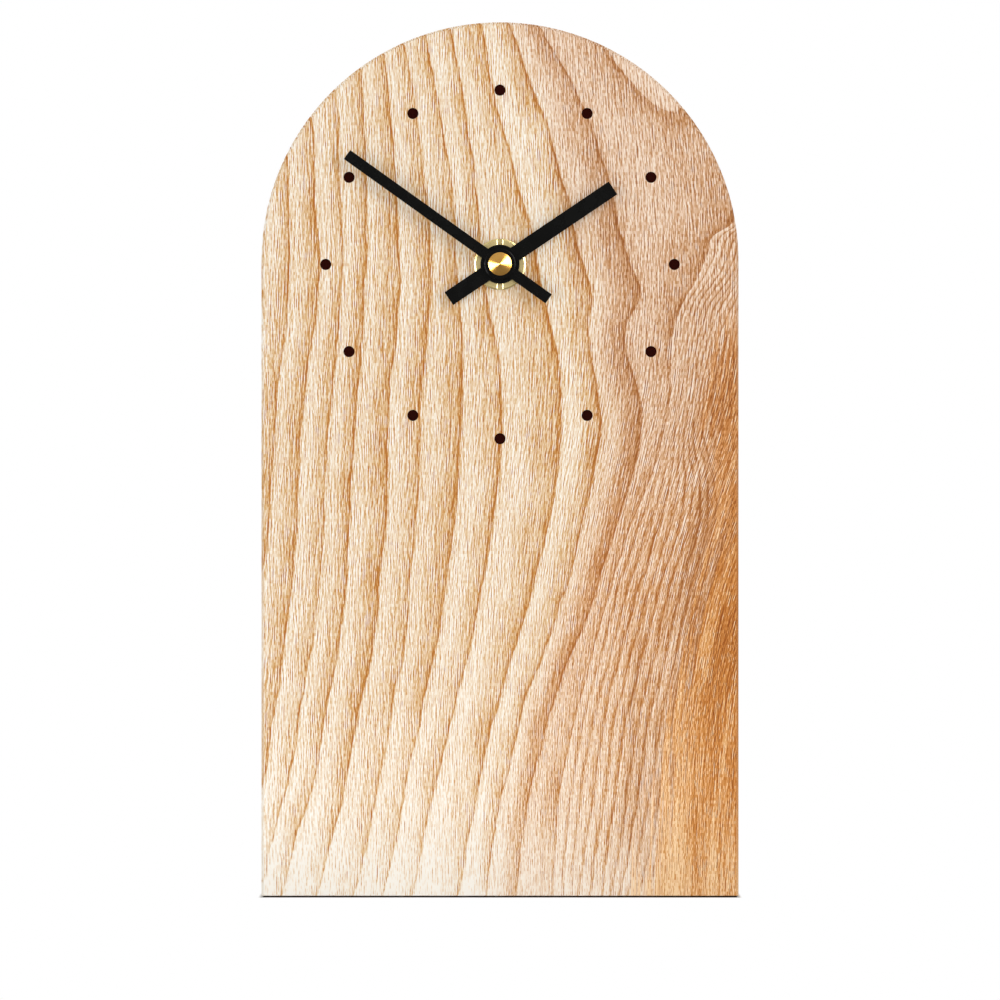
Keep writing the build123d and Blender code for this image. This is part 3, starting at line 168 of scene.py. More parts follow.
# Each fibre reads the pattern this many patches away from its neighbour, so that it has a tone of its own.
# The pattern is turned, so that neighbours don't change tone at the same heights
FIBRE_SPREAD = 7.13
FIBRE_TURN = 0.35
# How far the patterns shift the ring lines, in millimetres
RING_WANDER = (("sway", 4.0), ("ripple", 2.0), ("thread", 0.6))

# Zones of the wood by ring: where each starts and where it is full, and how uneven its edge is, in rings
PINK_START = (8.7, 9.7)
PINK_FRAY = (("streak", 1.0),)
EDGE_START = (16.0, 18.8)
HEART_START = (18.8, 21.2)
HEART_FRAY = (("streak", 4.0), ("vein", 10.0))
# How uneven the heartwood's upper end is, in millimetres
HEART_TOP_FRAY = (("streak", 70.0), ("vein", 30.0))
# Shares by height of the pinkish wood's colours, of the heartwood's, and of the greyer wood that runs in the
# pinkish zone
PINK_SHARE = ((236, 1.0), (100, 1.0), (60, 0.85), (30, 0.6), (2, 0.5))
HEART_SHARE = (
    (236, 0.0),
    (172, 0.05),
    (164, 0.2),
    (157, 0.6),
    (148, 0.75),
    (130, 0.8),
    (110, 0.92),
    (96, 1.0),
    (2, 1.0),
)
GREY_SHARE = ((236, 0.55), (174, 0.55), (130, 0.45), (100, 0.1), (48, 0.0), (2, 0.0))
EDGE_GREY_SHARE = 0.45

# Tone by season of growth, from 0 for the palest wood to 1 for the darkest, in wide rings and in narrow ones
WIDE_RING = (
    (0, 0.6),
    (0.03, 0.28),
    (0.2, 0.23),
    (0.42, 0.28),
    (0.6, 0.39),
    (0.8, 0.46),
    (0.92, 0.56),
    (0.965, 0.76),
    (1, 0.74),
)
NARROW_RING = ((0, 0.5), (0.15, 0.28), (0.5, 0.31), (0.7, 0.4), (0.9, 0.66), (1, 0.64))
# Rings differ in strength, and along a ring its tone comes and goes with the ripple
RING_STRENGTHS = (0.9, 1.1)
RING_UNEVENNESS = 0.7
# What is added to the tone: by ring, and by height in all the wood and in the zones
RING_TONE = (
    (-2, 0.0),
    (1, 0.01),
    (2, -0.02),
    (3, -0.015),
    (4, 0.03),
    (5.2, 0.03),
    (5.8, 0.0),
    (6.3, -0.05),
    (6.9, -0.05),
    (7.3, 0.0),
    (8, -0.02),
    (9, 0.0),
    (9.5, 0.06),
    (9.9, 0.09),
    (10.2, 0.06),
    (10.5, 0.03),
    (10.8, -0.02),
    (11, -0.04),
    (11.4, -0.02),
    (12.5, 0.0),
    (14.5, 0.04),
    (17, 0.07),
    (20, 0.07),
    (44, 0.07),
)
HEIGHT_TONE = (
    (236, 0.07),
    (204, 0.06),
    (174, 0.1),
    (130, 0.1),
    (92, 0.08),
    (48, 0.01),
    (20, -0.12),
    (2, -0.36),
)
PINK_TONE = (
    (236, -0.09),
    (204, -0.12),
    (186, -0.1),
    (174, -0.08),
    (155, -0.08),
    (130, -0.06),
    (110, -0.01),
    (92, 0.02),
    (48, 0.01),
    (20, 0.04),
    (2, 0.04),
)
EDGE_TONE = ((236, 0.0), (155, 0.0), (125, 0.15), (100, 0.26), (75, 0.2), (48, 0.14), (2, 0.1))
# The heartwood's own tone, by ring and by height
HEART_RINGS = (19.5, 26.0)
HEART_TONES = (0.26, 0.54)
HEART_HEIGHT_TONE = (
    (236, 0.04),
    (150, 0.12),
    (130, 0.1),
    (110, 0.08),
    (80, 0.1),
    (60, 0.05),
    (40, 0.0),
    (20, -0.02),
    (2, -0.04),
)
# How much each fine pattern counts in sapwood, in the pinkish zone and in heartwood
FINE_SHARES = (
    ("pore", 1.8, 1.9, 1.8),
    ("speckle", 0.3, 0.4, 0.4),
    ("thread", 0.05, 0.05, 0.6),
    ("vein", 0.0, 0.0, -0.7),
    ("streak", 0.15, 0.15, -0.8),
)
# Colours from the palest tone to the darkest
SAPWOOD = ((0.0, "FEF9F0"), (0.25, "F4E3CC"), (0.5, "E2C194"), (0.75, "CE944C"), (1.0, "B2681E"))
PINK_WOOD = ((0.0, "FCECDA"), (0.25, "EDCCAC"), (0.5, "D7A474"), (0.75, "C28040"), (1.0, "A2591A"))
GREY_WOOD = ((0.0, "F2DECC"), (0.25, "DFBFA4"), (0.5, "C99C78"), (0.75, "AE7A4C"), (1.0, "8C5428"))
HEARTWOOD = ((0.0, "F8D8AC"), (0.25, "DFA462"), (0.5, "C98038"), (0.75, "AC6018"), (1.0, "864008"))
# The foot is sawn; a painted contact shadow makes it dark up to this height in millimetres
FOOT_SHADOW_HEIGHT = 0.45
FOOT_SHADOW_COLOUR = "241A10"
# Oiled wood is dull. Its dark lines lie a little deeper
WOOD_ROUGHNESS = 0.55
WOOD_SPECULAR = 0.2
WOOD_RELIEF_STRENGTH = 0.1
WOOD_RELIEF = 0.1 * MM

# Plain finishes: the part of the noise in which their colour and their gloss drift, and their raised grain
COLOUR_DRIFT = (0.35, 0.65)
GLOSS_DRIFT = (0.3, 0.7)
PATCH_DETAIL = 3.0
GRAIN_DETAIL = 2.0
GRAIN_STRENGTH = 0.5
# Turned brass: a patch of tarnish in millimetres, the part of the pattern in which its colour drifts, and
# the relief of the lathe's grooves
TARNISH_PATCH = 5 / 3
TARNISH_DETAIL = 2.0
TARNISH_DRIFT = (0.1, 0.45)
GROOVE_DETAIL = 1.0
GROOVE_STRENGTH = 0.2
GROOVE_DEPTH = 0.01 * MM
LACQUER_ROUGHNESS = 0.08

# The dry cell's bands from its negative end: where each starts, as a share of the length, and its colour
STEEL_RIM = "B9B7B0"
CELL_BANDS = ((0.0, STEEL_RIM), (0.03, "1C3A2C"), (0.69, "D8CFB8"), (0.705, "A9682C"), (0.95, STEEL_RIM))
# Handling wears its film in patches: their size in millimetres, their roughness and shade, and the wrinkles
WEAR_PATCH = 2.5
WEAR_DETAIL = 3.0
WEAR_ROUGHNESS = (0.2, 0.45)
WEAR_SHADE = (0.8, 1.2)
WRINKLE_STRENGTH = 0.3
WRINKLE_DEPTH = 0.05 * MM

# Marks moulded on the movement's cover: arrows round the knob, in degrees, and the poles of the cell
MARK_RAISE = 0.2 * MM
MARK_WIDTH = 0.8 * MM
ARROW_RADIUS = 9.4 * MM
ARROW_TOP = 90
ARROW_START = 12
ARROW_SWEEP = 50
ARROW_HEAD = 14
ARROW_HEAD_WIDTHS = 3
ARROW_STEPS = 10
POLE_MARK_SIZE = 3.6 * MM
POLE_MARK_INSET = 5.0 * MM
POLE_MARK_HEIGHT = 4.0 * MM
# Thread on the bush and wire on the coil. The wire is really finer: it is drawn as thick as it needs to show
BUSH_RADIUS = 4.0 * MM
THREAD_PITCH = 0.4 * MM
THREAD_RIDGE = 0.1 * MM
THREAD_SIDES = 4
WIRE_DIAMETER = 0.3 * MM
WIRE_SIDES = 8
POINTS_PER_TURN = 32
WINDING_INPUTS = (
    ("Turns", "NodeSocketFloat"),
    ("Radius", "NodeSocketFloat"),
    ("Length", "NodeSocketFloat"),
    ("Thickness", "NodeSocketFloat"),
    ("Sides", "NodeSocketInt"),
    ("Material", "NodeSocketMaterial"),
)


def linear(hex_colour):
    """Scene-linear colour with alpha from an sRGB hex value such as "C9A24E"."""
    channels = [int(hex_colour[i : i + 2], 16) / 255 for i in (0, 2, 4)]
    return [c / 12.92 if c <= 0.04045 else ((c + 0.055) / 1.055) ** 2.4 for c in channels] + [1.0]


def set_ramp(ramp, stops):
    """Gives a colour ramp its stops: pairs of position and hex colour."""
    while len(ramp.elements) < len(stops):
        ramp.elements.new(1.0)
    for element, (position, colour) in zip(ramp.elements, stops):
        element.position = position
        element.color = linear(colour)


def set_curve(mapping, points):
    """Gives a float curve its points, in the units of what it reads and gives."""
    mapping.use_clip = False
    curve = mapping.curves[0]
    for _ in points[2:]:
        curve.points.new(0.5, 0.5)
    for point, place in zip(curve.points, sorted(points)):
        point.location = place
    mapping.update()


def add(tree, kind, inputs=None, points=(), stops=(), **settings):
    """Adds a node with its settings, points or stops. An input takes a value, a node or a node's output."""
    made = tree.nodes.new(kind)
    for name, value in settings.items():
        setattr(made, name, value)
    if points:
        set_curve(made.mapping, points)
    if stops:
        set_ramp(made.color_ramp, stops)
    for key, value in (inputs or {}).items():
        if isinstance(value, bpy.types.Node):
            value = value.outputs[0]
        if isinstance(value, bpy.types.NodeSocket):
            tree.links.new(value, made.inputs[key])
        else:
            made.inputs[key].default_value = value
    return made


def span(start, goal=(0.0, 1.0)):
    """The ends of a range and what they become, under the names of a Map Range node's inputs."""
    return {"From Min": start[0], "From Max": start[1], "To Min": goal[0], "To Max": goal[1]}


def new_material(name):
    """An empty material with its shader, and Object coordinates in millimetres."""
    material = bpy.data.materials.new(name)
    material.use_nodes = True
    tree = material.node_tree
    shader = tree.nodes["Principled BSDF"]
    coordinates = add(tree, "ShaderNodeTexCoord").outputs["Object"]
    place = add(tree, "ShaderNodeVectorMath", {0: coordinates, "Scale": 1 / MM}, operation="SCALE")
    return material, tree, shader, place


def follow_fibres(tree, right, depth, height):
    """A place on the board, set straight along its fibres: they lean on the face, and not on the sides."""
    lean = add(tree, "ShaderNodeFloatCurve", {"Value": height}, points=FIBRE_LINE)
    share = add(tree, "ShaderNodeFloatCurve", {"Value": right}, points=FIBRE_SHARE)
    lean = add(tree, "ShaderNodeMath", {0: lean, 1: share}, operation="MULTIPLY")
    aside = add(tree, "ShaderNodeMath", {0: right}, operation="ABSOLUTE")
    half_width = BODY_BOX[1].x / MM
    chamfer = span((half_width - EDGE_CHAMFER, half_width), (1.0, 0.0))
    between_sides = add(tree, "ShaderNodeMapRange", {"Value": aside, **chamfer})
    lean = add(tree, "ShaderNodeMath", {0: lean, 1: between_sides}, operation="MULTIPLY")
    straight = add(tree, "ShaderNodeMath", {0: right, 1: lean}, operation="SUBTRACT")
    return add(tree, "ShaderNodeCombineXYZ", {"X": straight, "Y": depth, "Z": height})


def make_grain(tree, along):
    """Patterns along the fibres, each with a mean of 0: slow ones that bend the rings, pores and specks."""
    noises = {}
    for name, width, length, detail in GRAIN_PATTERNS:
        stretch = (1 / width, 1 / width, 1 / length)
        stretched = add(tree, "ShaderNodeMapping", {"Vector": along, "Scale": stretch})
        noises[name] = add(tree, "ShaderNodeTexNoise", {"Vector": stretched, "Scale": 1.0, "Detail": detail})
    specks = add(tree, "ShaderNodeVectorMath", {0: along, 1: SPECK_SIZE}, operation="SNAP")
    noises["speckle"] = add(tree, "ShaderNodeTexWhiteNoise", {"Vector": specks}, noise_dimensions="3D")
    grain = {}
    for name, noise in noises.items():
        grain[name] = add(tree, "ShaderNodeMath", {0: noise, 1: NOISE_MEAN}, operation="SUBTRACT")

    # A pore is dark against the fibre beside it
    cells = (FIBRE_WIDTH, FIBRE_WIDTH, FIBRE_LENGTH / FIBRE_STEPS)
    spread = (FIBRE_SPREAD / FIBRE_WIDTH, FIBRE_SPREAD / FIBRE_WIDTH, 1 / FIBRE_LENGTH)
    turn = (FIBRE_TURN, FIBRE_TURN, 0)
    tones = []
    for beside in (0, FIBRE_WIDTH):
        fibre = add(tree, "ShaderNodeVectorMath", {0: along, 1: (beside, 0, 0)}, operation="ADD")
        fibre = add(tree, "ShaderNodeVectorMath", {0: fibre, 1: cells}, operation="SNAP")
        fibre = add(tree, "ShaderNodeMapping", {"Vector": fibre, "Scale": spread, "Rotation": turn})
        pattern = {"Vector": fibre, "Scale": 1.0, "Detail": FIBRE_DETAIL}
        tones.append(add(tree, "ShaderNodeTexNoise", pattern))
    grain["pore"] = add(tree, "ShaderNodeMath", {0: tones[0], 1: tones[1]}, operation="SUBTRACT")
    return grain


def fray(tree, value, grain, reaches):
    """A value made uneven by patterns of the grain: pairs of a pattern's name and its reach."""
    for name, reach in reaches:
        value = add(tree, "ShaderNodeMath", {0: grain[name], 1: reach, 2: value}, operation="MULTIPLY_ADD")
    return value


def count_rings(tree, place, right, depth, height, grain):
    """The number of the growth ring at a place. Its fraction is the season of growth."""
    across = add(tree, "ShaderNodeMath", {0: depth, 1: RING_DRIFT, 2: right}, operation="MULTIPLY_ADD")
    across = add(tree, "ShaderNodeMath", {0: across, 1: -RING_DRIFT * FACE_Y / MM}, operation="ADD")
    across = fray(tree, across, grain, RING_WANDER)

    # The count climbs from each listed line to the next
    lines = []
    for count, points in RING_LINES:
        lines.append((count, add(tree, "ShaderNodeFloatCurve", {"Value": height}, points=points)))
    rings = RING_LINES[0][0]
    for (count, line), (next_count, next_line) in zip(lines, lines[1:]):
        ends = span((line, next_line), (0.0, next_count - count))
        climb = add(tree, "ShaderNodeMapRange", {"Value": across, **ends})
        rings = add(tree, "ShaderNodeMath", {0: rings, 1: climb}, operation="ADD")

    crown = {"Vector": place, "Location": CROWN_CENTRE, "Rotation": (0, CROWN_TURN, 0), "Scale": CROWN_SIZE}
    crown = add(tree, "ShaderNodeMapping", crown, vector_type="TEXTURE")
    distance = add(tree, "ShaderNodeVectorMath", {0: crown}, operation="LENGTH").outputs["Value"]
    hill = {"Value": distance, **span((CROWN_REACH, 0.0), (0.0, CROWN_RISE))}
    hill = add(tree, "ShaderNodeMapRange", hill, interpolation_type="SMOOTHERSTEP")
    return add(tree, "ShaderNodeMath", {0: rings, 1: hill}, operation="ADD")


def season_tone(tree, rings, grain):
    """Tone of a growth ring: pale in spring, then darker, up to its line. Each ring has its own strength."""
    season = add(tree, "ShaderNodeMath", {0: rings}, operation="FRACT")
    wide = add(tree, "ShaderNodeFloatCurve", {"Value": season}, points=WIDE_RING)
    fine = add(tree, "ShaderNodeFloatCurve", {"Value": season}, points=NARROW_RING)
    narrow = add(tree, "ShaderNodeMapRange", {"Value": rings, **span(NARROW_START)})
    tone = add(tree, "ShaderNodeMix", {"Factor": narrow, 2: wide, 3: fine}, data_type="FLOAT")
    ring_number = add(tree, "ShaderNodeMath", {0: rings}, operation="FLOOR")
    chance = add(tree, "ShaderNodeTexWhiteNoise", {"W": ring_number}, noise_dimensions="1D")
    strength = add(tree, "ShaderNodeMapRange", {"Value": chance, **span((0.0, 1.0), RING_STRENGTHS)})
    strength = fray(tree, strength, grain, (("ripple", RING_UNEVENNESS),))
    tone = add(tree, "ShaderNodeMath", {0: tone, 1: strength}, operation="MULTIPLY")
    ring_tone = add(tree, "ShaderNodeFloatCurve", {"Value": rings}, points=RING_TONE)
    return add(tree, "ShaderNodeMath", {0: tone, 1: ring_tone}, operation="ADD")


def oiled_ash():
    """Ash, planed and oiled: pale spring wood, then tan late wood that ends in a thin dark line."""
    material, tree, shader, place = new_material("ash_planed_oiled")
    right, depth, height = add(tree, "ShaderNodeSeparateXYZ", {0: place}).outputs
    grain = make_grain(tree, follow_fibres(tree, right, depth, height))
    rings = count_rings(tree, place, right, depth, height, grain)

    # Zones with uneven edges: the pinkish wood, its edge along the heartwood, and the heartwood
    pink_rings = fray(tree, rings, grain, PINK_FRAY)
    pink = add(tree, "ShaderNodeMapRange", {"Value": pink_rings, **span(PINK_START)})
    heart_rings = fray(tree, rings, grain, HEART_FRAY)
    edge = add(tree, "ShaderNodeMapRange", {"Value": heart_rings, **span(EDGE_START)})
    heart = add(tree, "ShaderNodeMapRange", {"Value": heart_rings, **span(HEART_START)})
    heart_height = fray(tree, height, grain, HEART_TOP_FRAY)
    heart_share = add(tree, "ShaderNodeFloatCurve", {"Value": heart_height}, points=HEART_SHARE)
    heart = add(tree, "ShaderNodeMath", {0: heart, 1: heart_share}, operation="MULTIPLY")

    # Tone: the season's, with what zone and height add, then the heartwood's own, then pores and specks
    tone = season_tone(tree, rings, grain)
    for zone, zone_tone in ((pink, PINK_TONE), (edge, EDGE_TONE)):
        added = add(tree, "ShaderNodeFloatCurve", {"Value": height}, points=zone_tone)
        tone = add(tree, "ShaderNodeMath", {0: zone, 1: added, 2: tone}, operation="MULTIPLY_ADD")
    heart_tone = add(tree, "ShaderNodeMapRange", {"Value": heart_rings, **span(HEART_RINGS, HEART_TONES)})
    added = add(tree, "ShaderNodeFloatCurve", {"Value": height}, points=HEART_HEIGHT_TONE)
    heart_tone = add(tree, "ShaderNodeMath", {0: heart_tone, 1: added}, operation="ADD")
    tone = add(tree, "ShaderNodeMix", {"Factor": heart, 2: tone, 3: heart_tone}, data_type="FLOAT")
    added = add(tree, "ShaderNodeFloatCurve", {"Value": height}, points=HEIGHT_TONE)
    tone = add(tree, "ShaderNodeMath", {0: tone, 1: added}, operation="ADD")
    for name, in_sapwood, in_pink, in_heart in FINE_SHARES:
        share = add(tree, "ShaderNodeMix", {"Factor": pink, 2: in_sapwood, 3: in_pink}, data_type="FLOAT")
        share = add(tree, "ShaderNodeMix", {"Factor": heart, 2: share, 3: in_heart}, data_type="FLOAT")
        tone = add(tree, "ShaderNodeMath", {0: grain[name], 1: share, 2: tone}, operation="MULTIPLY_ADD")

    # Colour: sapwood, and over it the zones by their shares, then a painted shadow along the foot
    pink_share = add(tree, "ShaderNodeFloatCurve", {"Value": height}, points=PINK_SHARE)
    pink_share = add(tree, "ShaderNodeMath", {0: pink, 1: pink_share}, operation="MULTIPLY")
    grey_share = add(tree, "ShaderNodeFloatCurve", {"Value": height}, points=GREY_SHARE)
    grey_share = add(tree, "ShaderNodeMath", {0: pink, 1: grey_share}, operation="MULTIPLY")
    edge_share = add(tree, "ShaderNodeMath", {0: edge, 1: EDGE_GREY_SHARE}, operation="MULTIPLY")
    grey_share = add(tree, "ShaderNodeMath", {0: grey_share, 1: edge_share}, operation="MAXIMUM")
    colour = add(tree, "ShaderNodeValToRGB", {0: tone}, stops=SAPWOOD).outputs[0]
    for share, stops in ((pink_share, PINK_WOOD), (grey_share, GREY_WOOD), (heart, HEARTWOOD)):
        zone_colour = add(tree, "ShaderNodeValToRGB", {0: tone}, stops=stops)
        ends = {"Factor": share, 6: colour, 7: zone_colour}
        colour = add(tree, "ShaderNodeMix", ends, data_type="RGBA").outputs[2]
    # Painted contact shadow: the wood goes dark brown along the lowest edge of the foot
    foot_shadow = add(tree, "ShaderNodeMath", {0: height, 1: FOOT_SHADOW_HEIGHT}, operation="LESS_THAN")
    ends = {"Factor": foot_shadow, 6: colour, 7: linear(FOOT_SHADOW_COLOUR)}
    colour = add(tree, "ShaderNodeMix", ends, data_type="RGBA").outputs[2]
    relief = {"Height": tone, "Strength": WOOD_RELIEF_STRENGTH, "Distance": WOOD_RELIEF}
    relief = add(tree, "ShaderNodeBump", relief, invert=True)
    tree.links.new(colour, shader.inputs["Base Color"])
    tree.links.new(relief.outputs[0], shader.inputs["Normal"])
    shader.inputs["Roughness"].default_value = WOOD_ROUGHNESS
    shader.inputs["Specular IOR Level"].default_value = WOOD_SPECULAR
    return material


def uneven_finish(name, colours, patch, roughness, grain, relief, metallic=0.0, specular=0.5):
    """A material whose colour and gloss drift in patches over a fine raised grain; sizes in millimetres."""
    material, tree, shader, place = new_material(name)
    patches = {"Vector": place, "Scale": 1 / patch, "Detail": PATCH_DETAIL}
    patches = add(tree, "ShaderNodeTexNoise", patches)
    colour = add(tree, "ShaderNodeValToRGB", {0: patches}, stops=tuple(zip(COLOUR_DRIFT, colours)))
    rough = add(tree, "ShaderNodeMapRange", {"Value": patches, **span(GLOSS_DRIFT, roughness)})
    fine = add(tree, "ShaderNodeTexNoise", {"Vector": place, "Scale": 1 / grain, "Detail": GRAIN_DETAIL})
    bump = {"Height": fine, "Strength": GRAIN_STRENGTH, "Distance": relief * MM}
    bump = add(tree, "ShaderNodeBump", bump)
    tree.links.new(colour.outputs[0], shader.inputs["Base Color"])
    tree.links.new(rough.outputs[0], shader.inputs["Roughness"])
    tree.links.new(bump.outputs[0], shader.inputs["Normal"])
    shader.inputs["Metallic"].default_value = metallic
    shader.inputs["Specular IOR Level"].default_value = specular
    return material


def turned_brass(name, colours, groove, roughness, anisotropy, lacquer):
    """Lacquered brass from the lathe: fine grooves about the clock's axis draw highlights into wedges."""
    material, tree, shader, place = new_material(name)
    offset = add(tree, "ShaderNodeVectorMath", {0: place, 1: HUB / MM}, operation="SUBTRACT")
    flat = add(tree, "ShaderNodeVectorMath", {0: offset, 1: (1, 0, 1)}, operation="MULTIPLY")
    radius = add(tree, "ShaderNodeVectorMath", {0: flat}, operation="LENGTH").outputs["Value"]
    grooves = {"W": radius, "Scale": 1 / groove, "Detail": GROOVE_DETAIL}
    grooves = add(tree, "ShaderNodeTexNoise", grooves, noise_dimensions="1D")
    tarnish = {"Vector": place, "Scale": 1 / TARNISH_PATCH, "Detail": TARNISH_DETAIL}
    tarnish = add(tree, "ShaderNodeTexNoise", tarnish)
    both = add(tree, "ShaderNodeMath", {0: grooves, 1: tarnish}, operation="MULTIPLY")
    colour = add(tree, "ShaderNodeValToRGB", {0: both}, stops=tuple(zip(TARNISH_DRIFT, colours)))
    rough = add(tree, "ShaderNodeMapRange", {"Value": grooves, **span((0.0, 1.0), roughness)})
    bump = {"Height": grooves, "Strength": GROOVE_STRENGTH, "Distance": GROOVE_DEPTH}
    bump = add(tree, "ShaderNodeBump", bump)
    around = add(tree, "ShaderNodeVectorMath", {0: flat, 1: (0, 1, 0)}, operation="CROSS_PRODUCT")
    spaces = {"vector_type": "VECTOR", "convert_from": "OBJECT", "convert_to": "WORLD"}
    tangent = add(tree, "ShaderNodeVectorTransform", {0: around}, **spaces)
    tree.links.new(colour.outputs[0], shader.inputs["Base Color"])
    tree.links.new(rough.outputs[0], shader.inputs["Roughness"])
    tree.links.new(bump.outputs[0], shader.inputs["Normal"])
    tree.links.new(tangent.outputs[0], shader.inputs["Tangent"])
    shader.inputs["Metallic"].default_value = 1.0
    shader.inputs["Anisotropic"].default_value = anisotropy
    shader.inputs["Coat Weight"].default_value = lacquer
    shader.inputs["Coat Roughness"].default_value = LACQUER_ROUGHNESS
    return material


def battery_film():
    """Film shrunk on a dry cell: a dark body, a copper-coloured positive end and bare steel at both rims."""
    material, tree, shader, place = new_material("battery_film_printed")
    right = add(tree, "ShaderNodeSeparateXYZ", {0: place}).outputs[0]
    ends = span((CELL_BOX[0].x / MM, CELL_BOX[1].x / MM))
    along = add(tree, "ShaderNodeMapRange", {"Value": right, **ends})
    colour = add(tree, "ShaderNodeValToRGB", {0: along}, stops=CELL_BANDS)
    colour.color_ramp.interpolation = "CONSTANT"
    bare_bands = [(start, "FFFFFF" if band == STEEL_RIM else "000000") for start, band in CELL_BANDS]
    bare = add(tree, "ShaderNodeValToRGB", {0: along}, stops=bare_bands)
    bare.color_ramp.interpolation = "CONSTANT"
    wear = add(tree, "ShaderNodeTexNoise", {"Vector": place, "Scale": 1 / WEAR_PATCH, "Detail": WEAR_DETAIL})
    rough = add(tree, "ShaderNodeMapRange", {"Value": wear, **span((0.0, 1.0), WEAR_ROUGHNESS)})
    shade = add(tree, "ShaderNodeMapRange", {"Value": wear, **span((0.0, 1.0), WEAR_SHADE)})
    worn = add(tree, "ShaderNodeVectorMath", {0: colour, "Scale": shade}, operation="SCALE")
    wrinkles = {"Height": wear, "Strength": WRINKLE_STRENGTH, "Distance": WRINKLE_DEPTH}
    wrinkles = add(tree, "ShaderNodeBump", wrinkles)
    tree.links.new(worn.outputs[0], shader.inputs["Base Color"])
    tree.links.new(bare.outputs[0], shader.inputs["Metallic"])
    tree.links.new(rough.outputs[0], shader.inputs["Roughness"])
    tree.links.new(wrinkles.outputs[0], shader.inputs["Normal"])
    return material


def winding_tree():
    """Node group of a wire, or of a thread's ridge, that winds upwards round the Z axis."""
    tree = bpy.data.node_groups.new("winding", "GeometryNodeTree")
    for name, kind in WINDING_INPUTS:
        tree.interface.new_socket(name, in_out="INPUT", socket_type=kind)
    tree.interface.new_socket("Geometry", in_out="OUTPUT", socket_type="NodeSocketGeometry")
    given = add(tree, "NodeGroupInput").outputs
    path = {
        "Resolution": POINTS_PER_TURN,
        "Rotations": given["Turns"],
        "Start Radius": given["Radius"],
        "End Radius": given["Radius"],
        "Height": given["Length"],
    }
    path = add(tree, "GeometryNodeCurveSpiral", path)
    path = add(tree, "GeometryNodeSetCurveNormal", {"Curve": path}, mode="Z_UP")
    section = {"Resolution": given["Sides"], "Radius": given["Thickness"]}
    section = add(tree, "GeometryNodeCurvePrimitiveCircle", section)
    wound = {"Curve": path, "Profile Curve": section, "Fill Caps": True}
    wound = add(tree, "GeometryNodeCurveToMesh", wound)
    wound = add(tree, "GeometryNodeRealizeInstances", {"Geometry": wound})
    wound = add(tree, "GeometryNodeSetMaterial", {"Geometry": wound, "Material": given["Material"]})
    add(tree, "NodeGroupOutput", {"Geometry": wound})
    return tree


def wind(tree, name, place, sizes):
    """Winds one piece, makes it a plain mesh and lays it where it belongs on the clock."""
    piece = bpy.data.objects.new(name, bpy.data.meshes.new(name))
    bpy.context.scene.collection.objects.link(piece)
    winding = piece.modifiers.new("winding", "NODES")
    winding.node_group = tree
    for socket in tree.interface.items_tree:
        if socket.in_out == "INPUT":
            winding[socket.identifier] = sizes[socket.name]
    wound = piece.evaluated_get(bpy.context.evaluated_depsgraph_get())
    mesh = bpy.data.meshes.new_from_object(wound)
    piece.modifiers.clear()
    piece.data = mesh
    mesh.transform(place)
    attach(piece, "clock")


def wind_bush_thread(tree, material):
    """The bush's thread: a ridge round the part that stands out of the mounting nut."""
    middle = (BUSH_BOX[0] + BUSH_BOX[1]) / 2
    length = NUT_BOX[0].y - BUSH_BOX[0].y - 2 * THREAD_RIDGE
    start = Matrix.Translation((middle.x, NUT_BOX[0].y - THREAD_RIDGE, middle.z))
    sizes = {
        "Turns": length / THREAD_PITCH,
        "Radius": BUSH_RADIUS,
        "Length": length,
        "Thickness": THREAD_RIDGE,
        "Sides": THREAD_SIDES,
        "Material": material,
    }
    wind(tree, "bush_thread", start @ Matrix.Rotation(math.pi / 2, 4, "X"), sizes)


def wind_coil_wire(tree, material):
    """The outer layer of wire on the movement's coil."""
    middle = (COIL_BOX[0] + COIL_BOX[1]) / 2
    length = COIL_BOX[1].z - COIL_BOX[0].z - WIRE_DIAMETER
    start = Matrix.Translation((middle.x, middle.y, COIL_BOX[0].z + WIRE_DIAMETER / 2))
    sizes = {
        "Turns": length / WIRE_DIAMETER,
        "Radius": (COIL_BOX[1].x - COIL_BOX[0].x) / 2,
        "Length": length,
        "Thickness": WIRE_DIAMETER / 2,
        "Sides": WIRE_SIDES,
        "Material": material,
    }
    wind(tree, "coil_wire", start, sizes)


def raise_mark(form, outline):
    """Adds one moulded mark to the cover: an outline of (right, height) points, raised towards the rear."""
    rear = COVER_BOX[1].y
    sunk = [form.verts.new((x, rear - MARK_RAISE, z)) for x, z in outline]
    proud = [form.verts.new((x, rear + MARK_RAISE, z)) for x, z in outline]
    form.faces.new(sunk)
    form.faces.new(proud)
    for i in range(len(outline)):
        form.faces.new((sunk[i - 1], sunk[i], proud[i], proud[i - 1]))


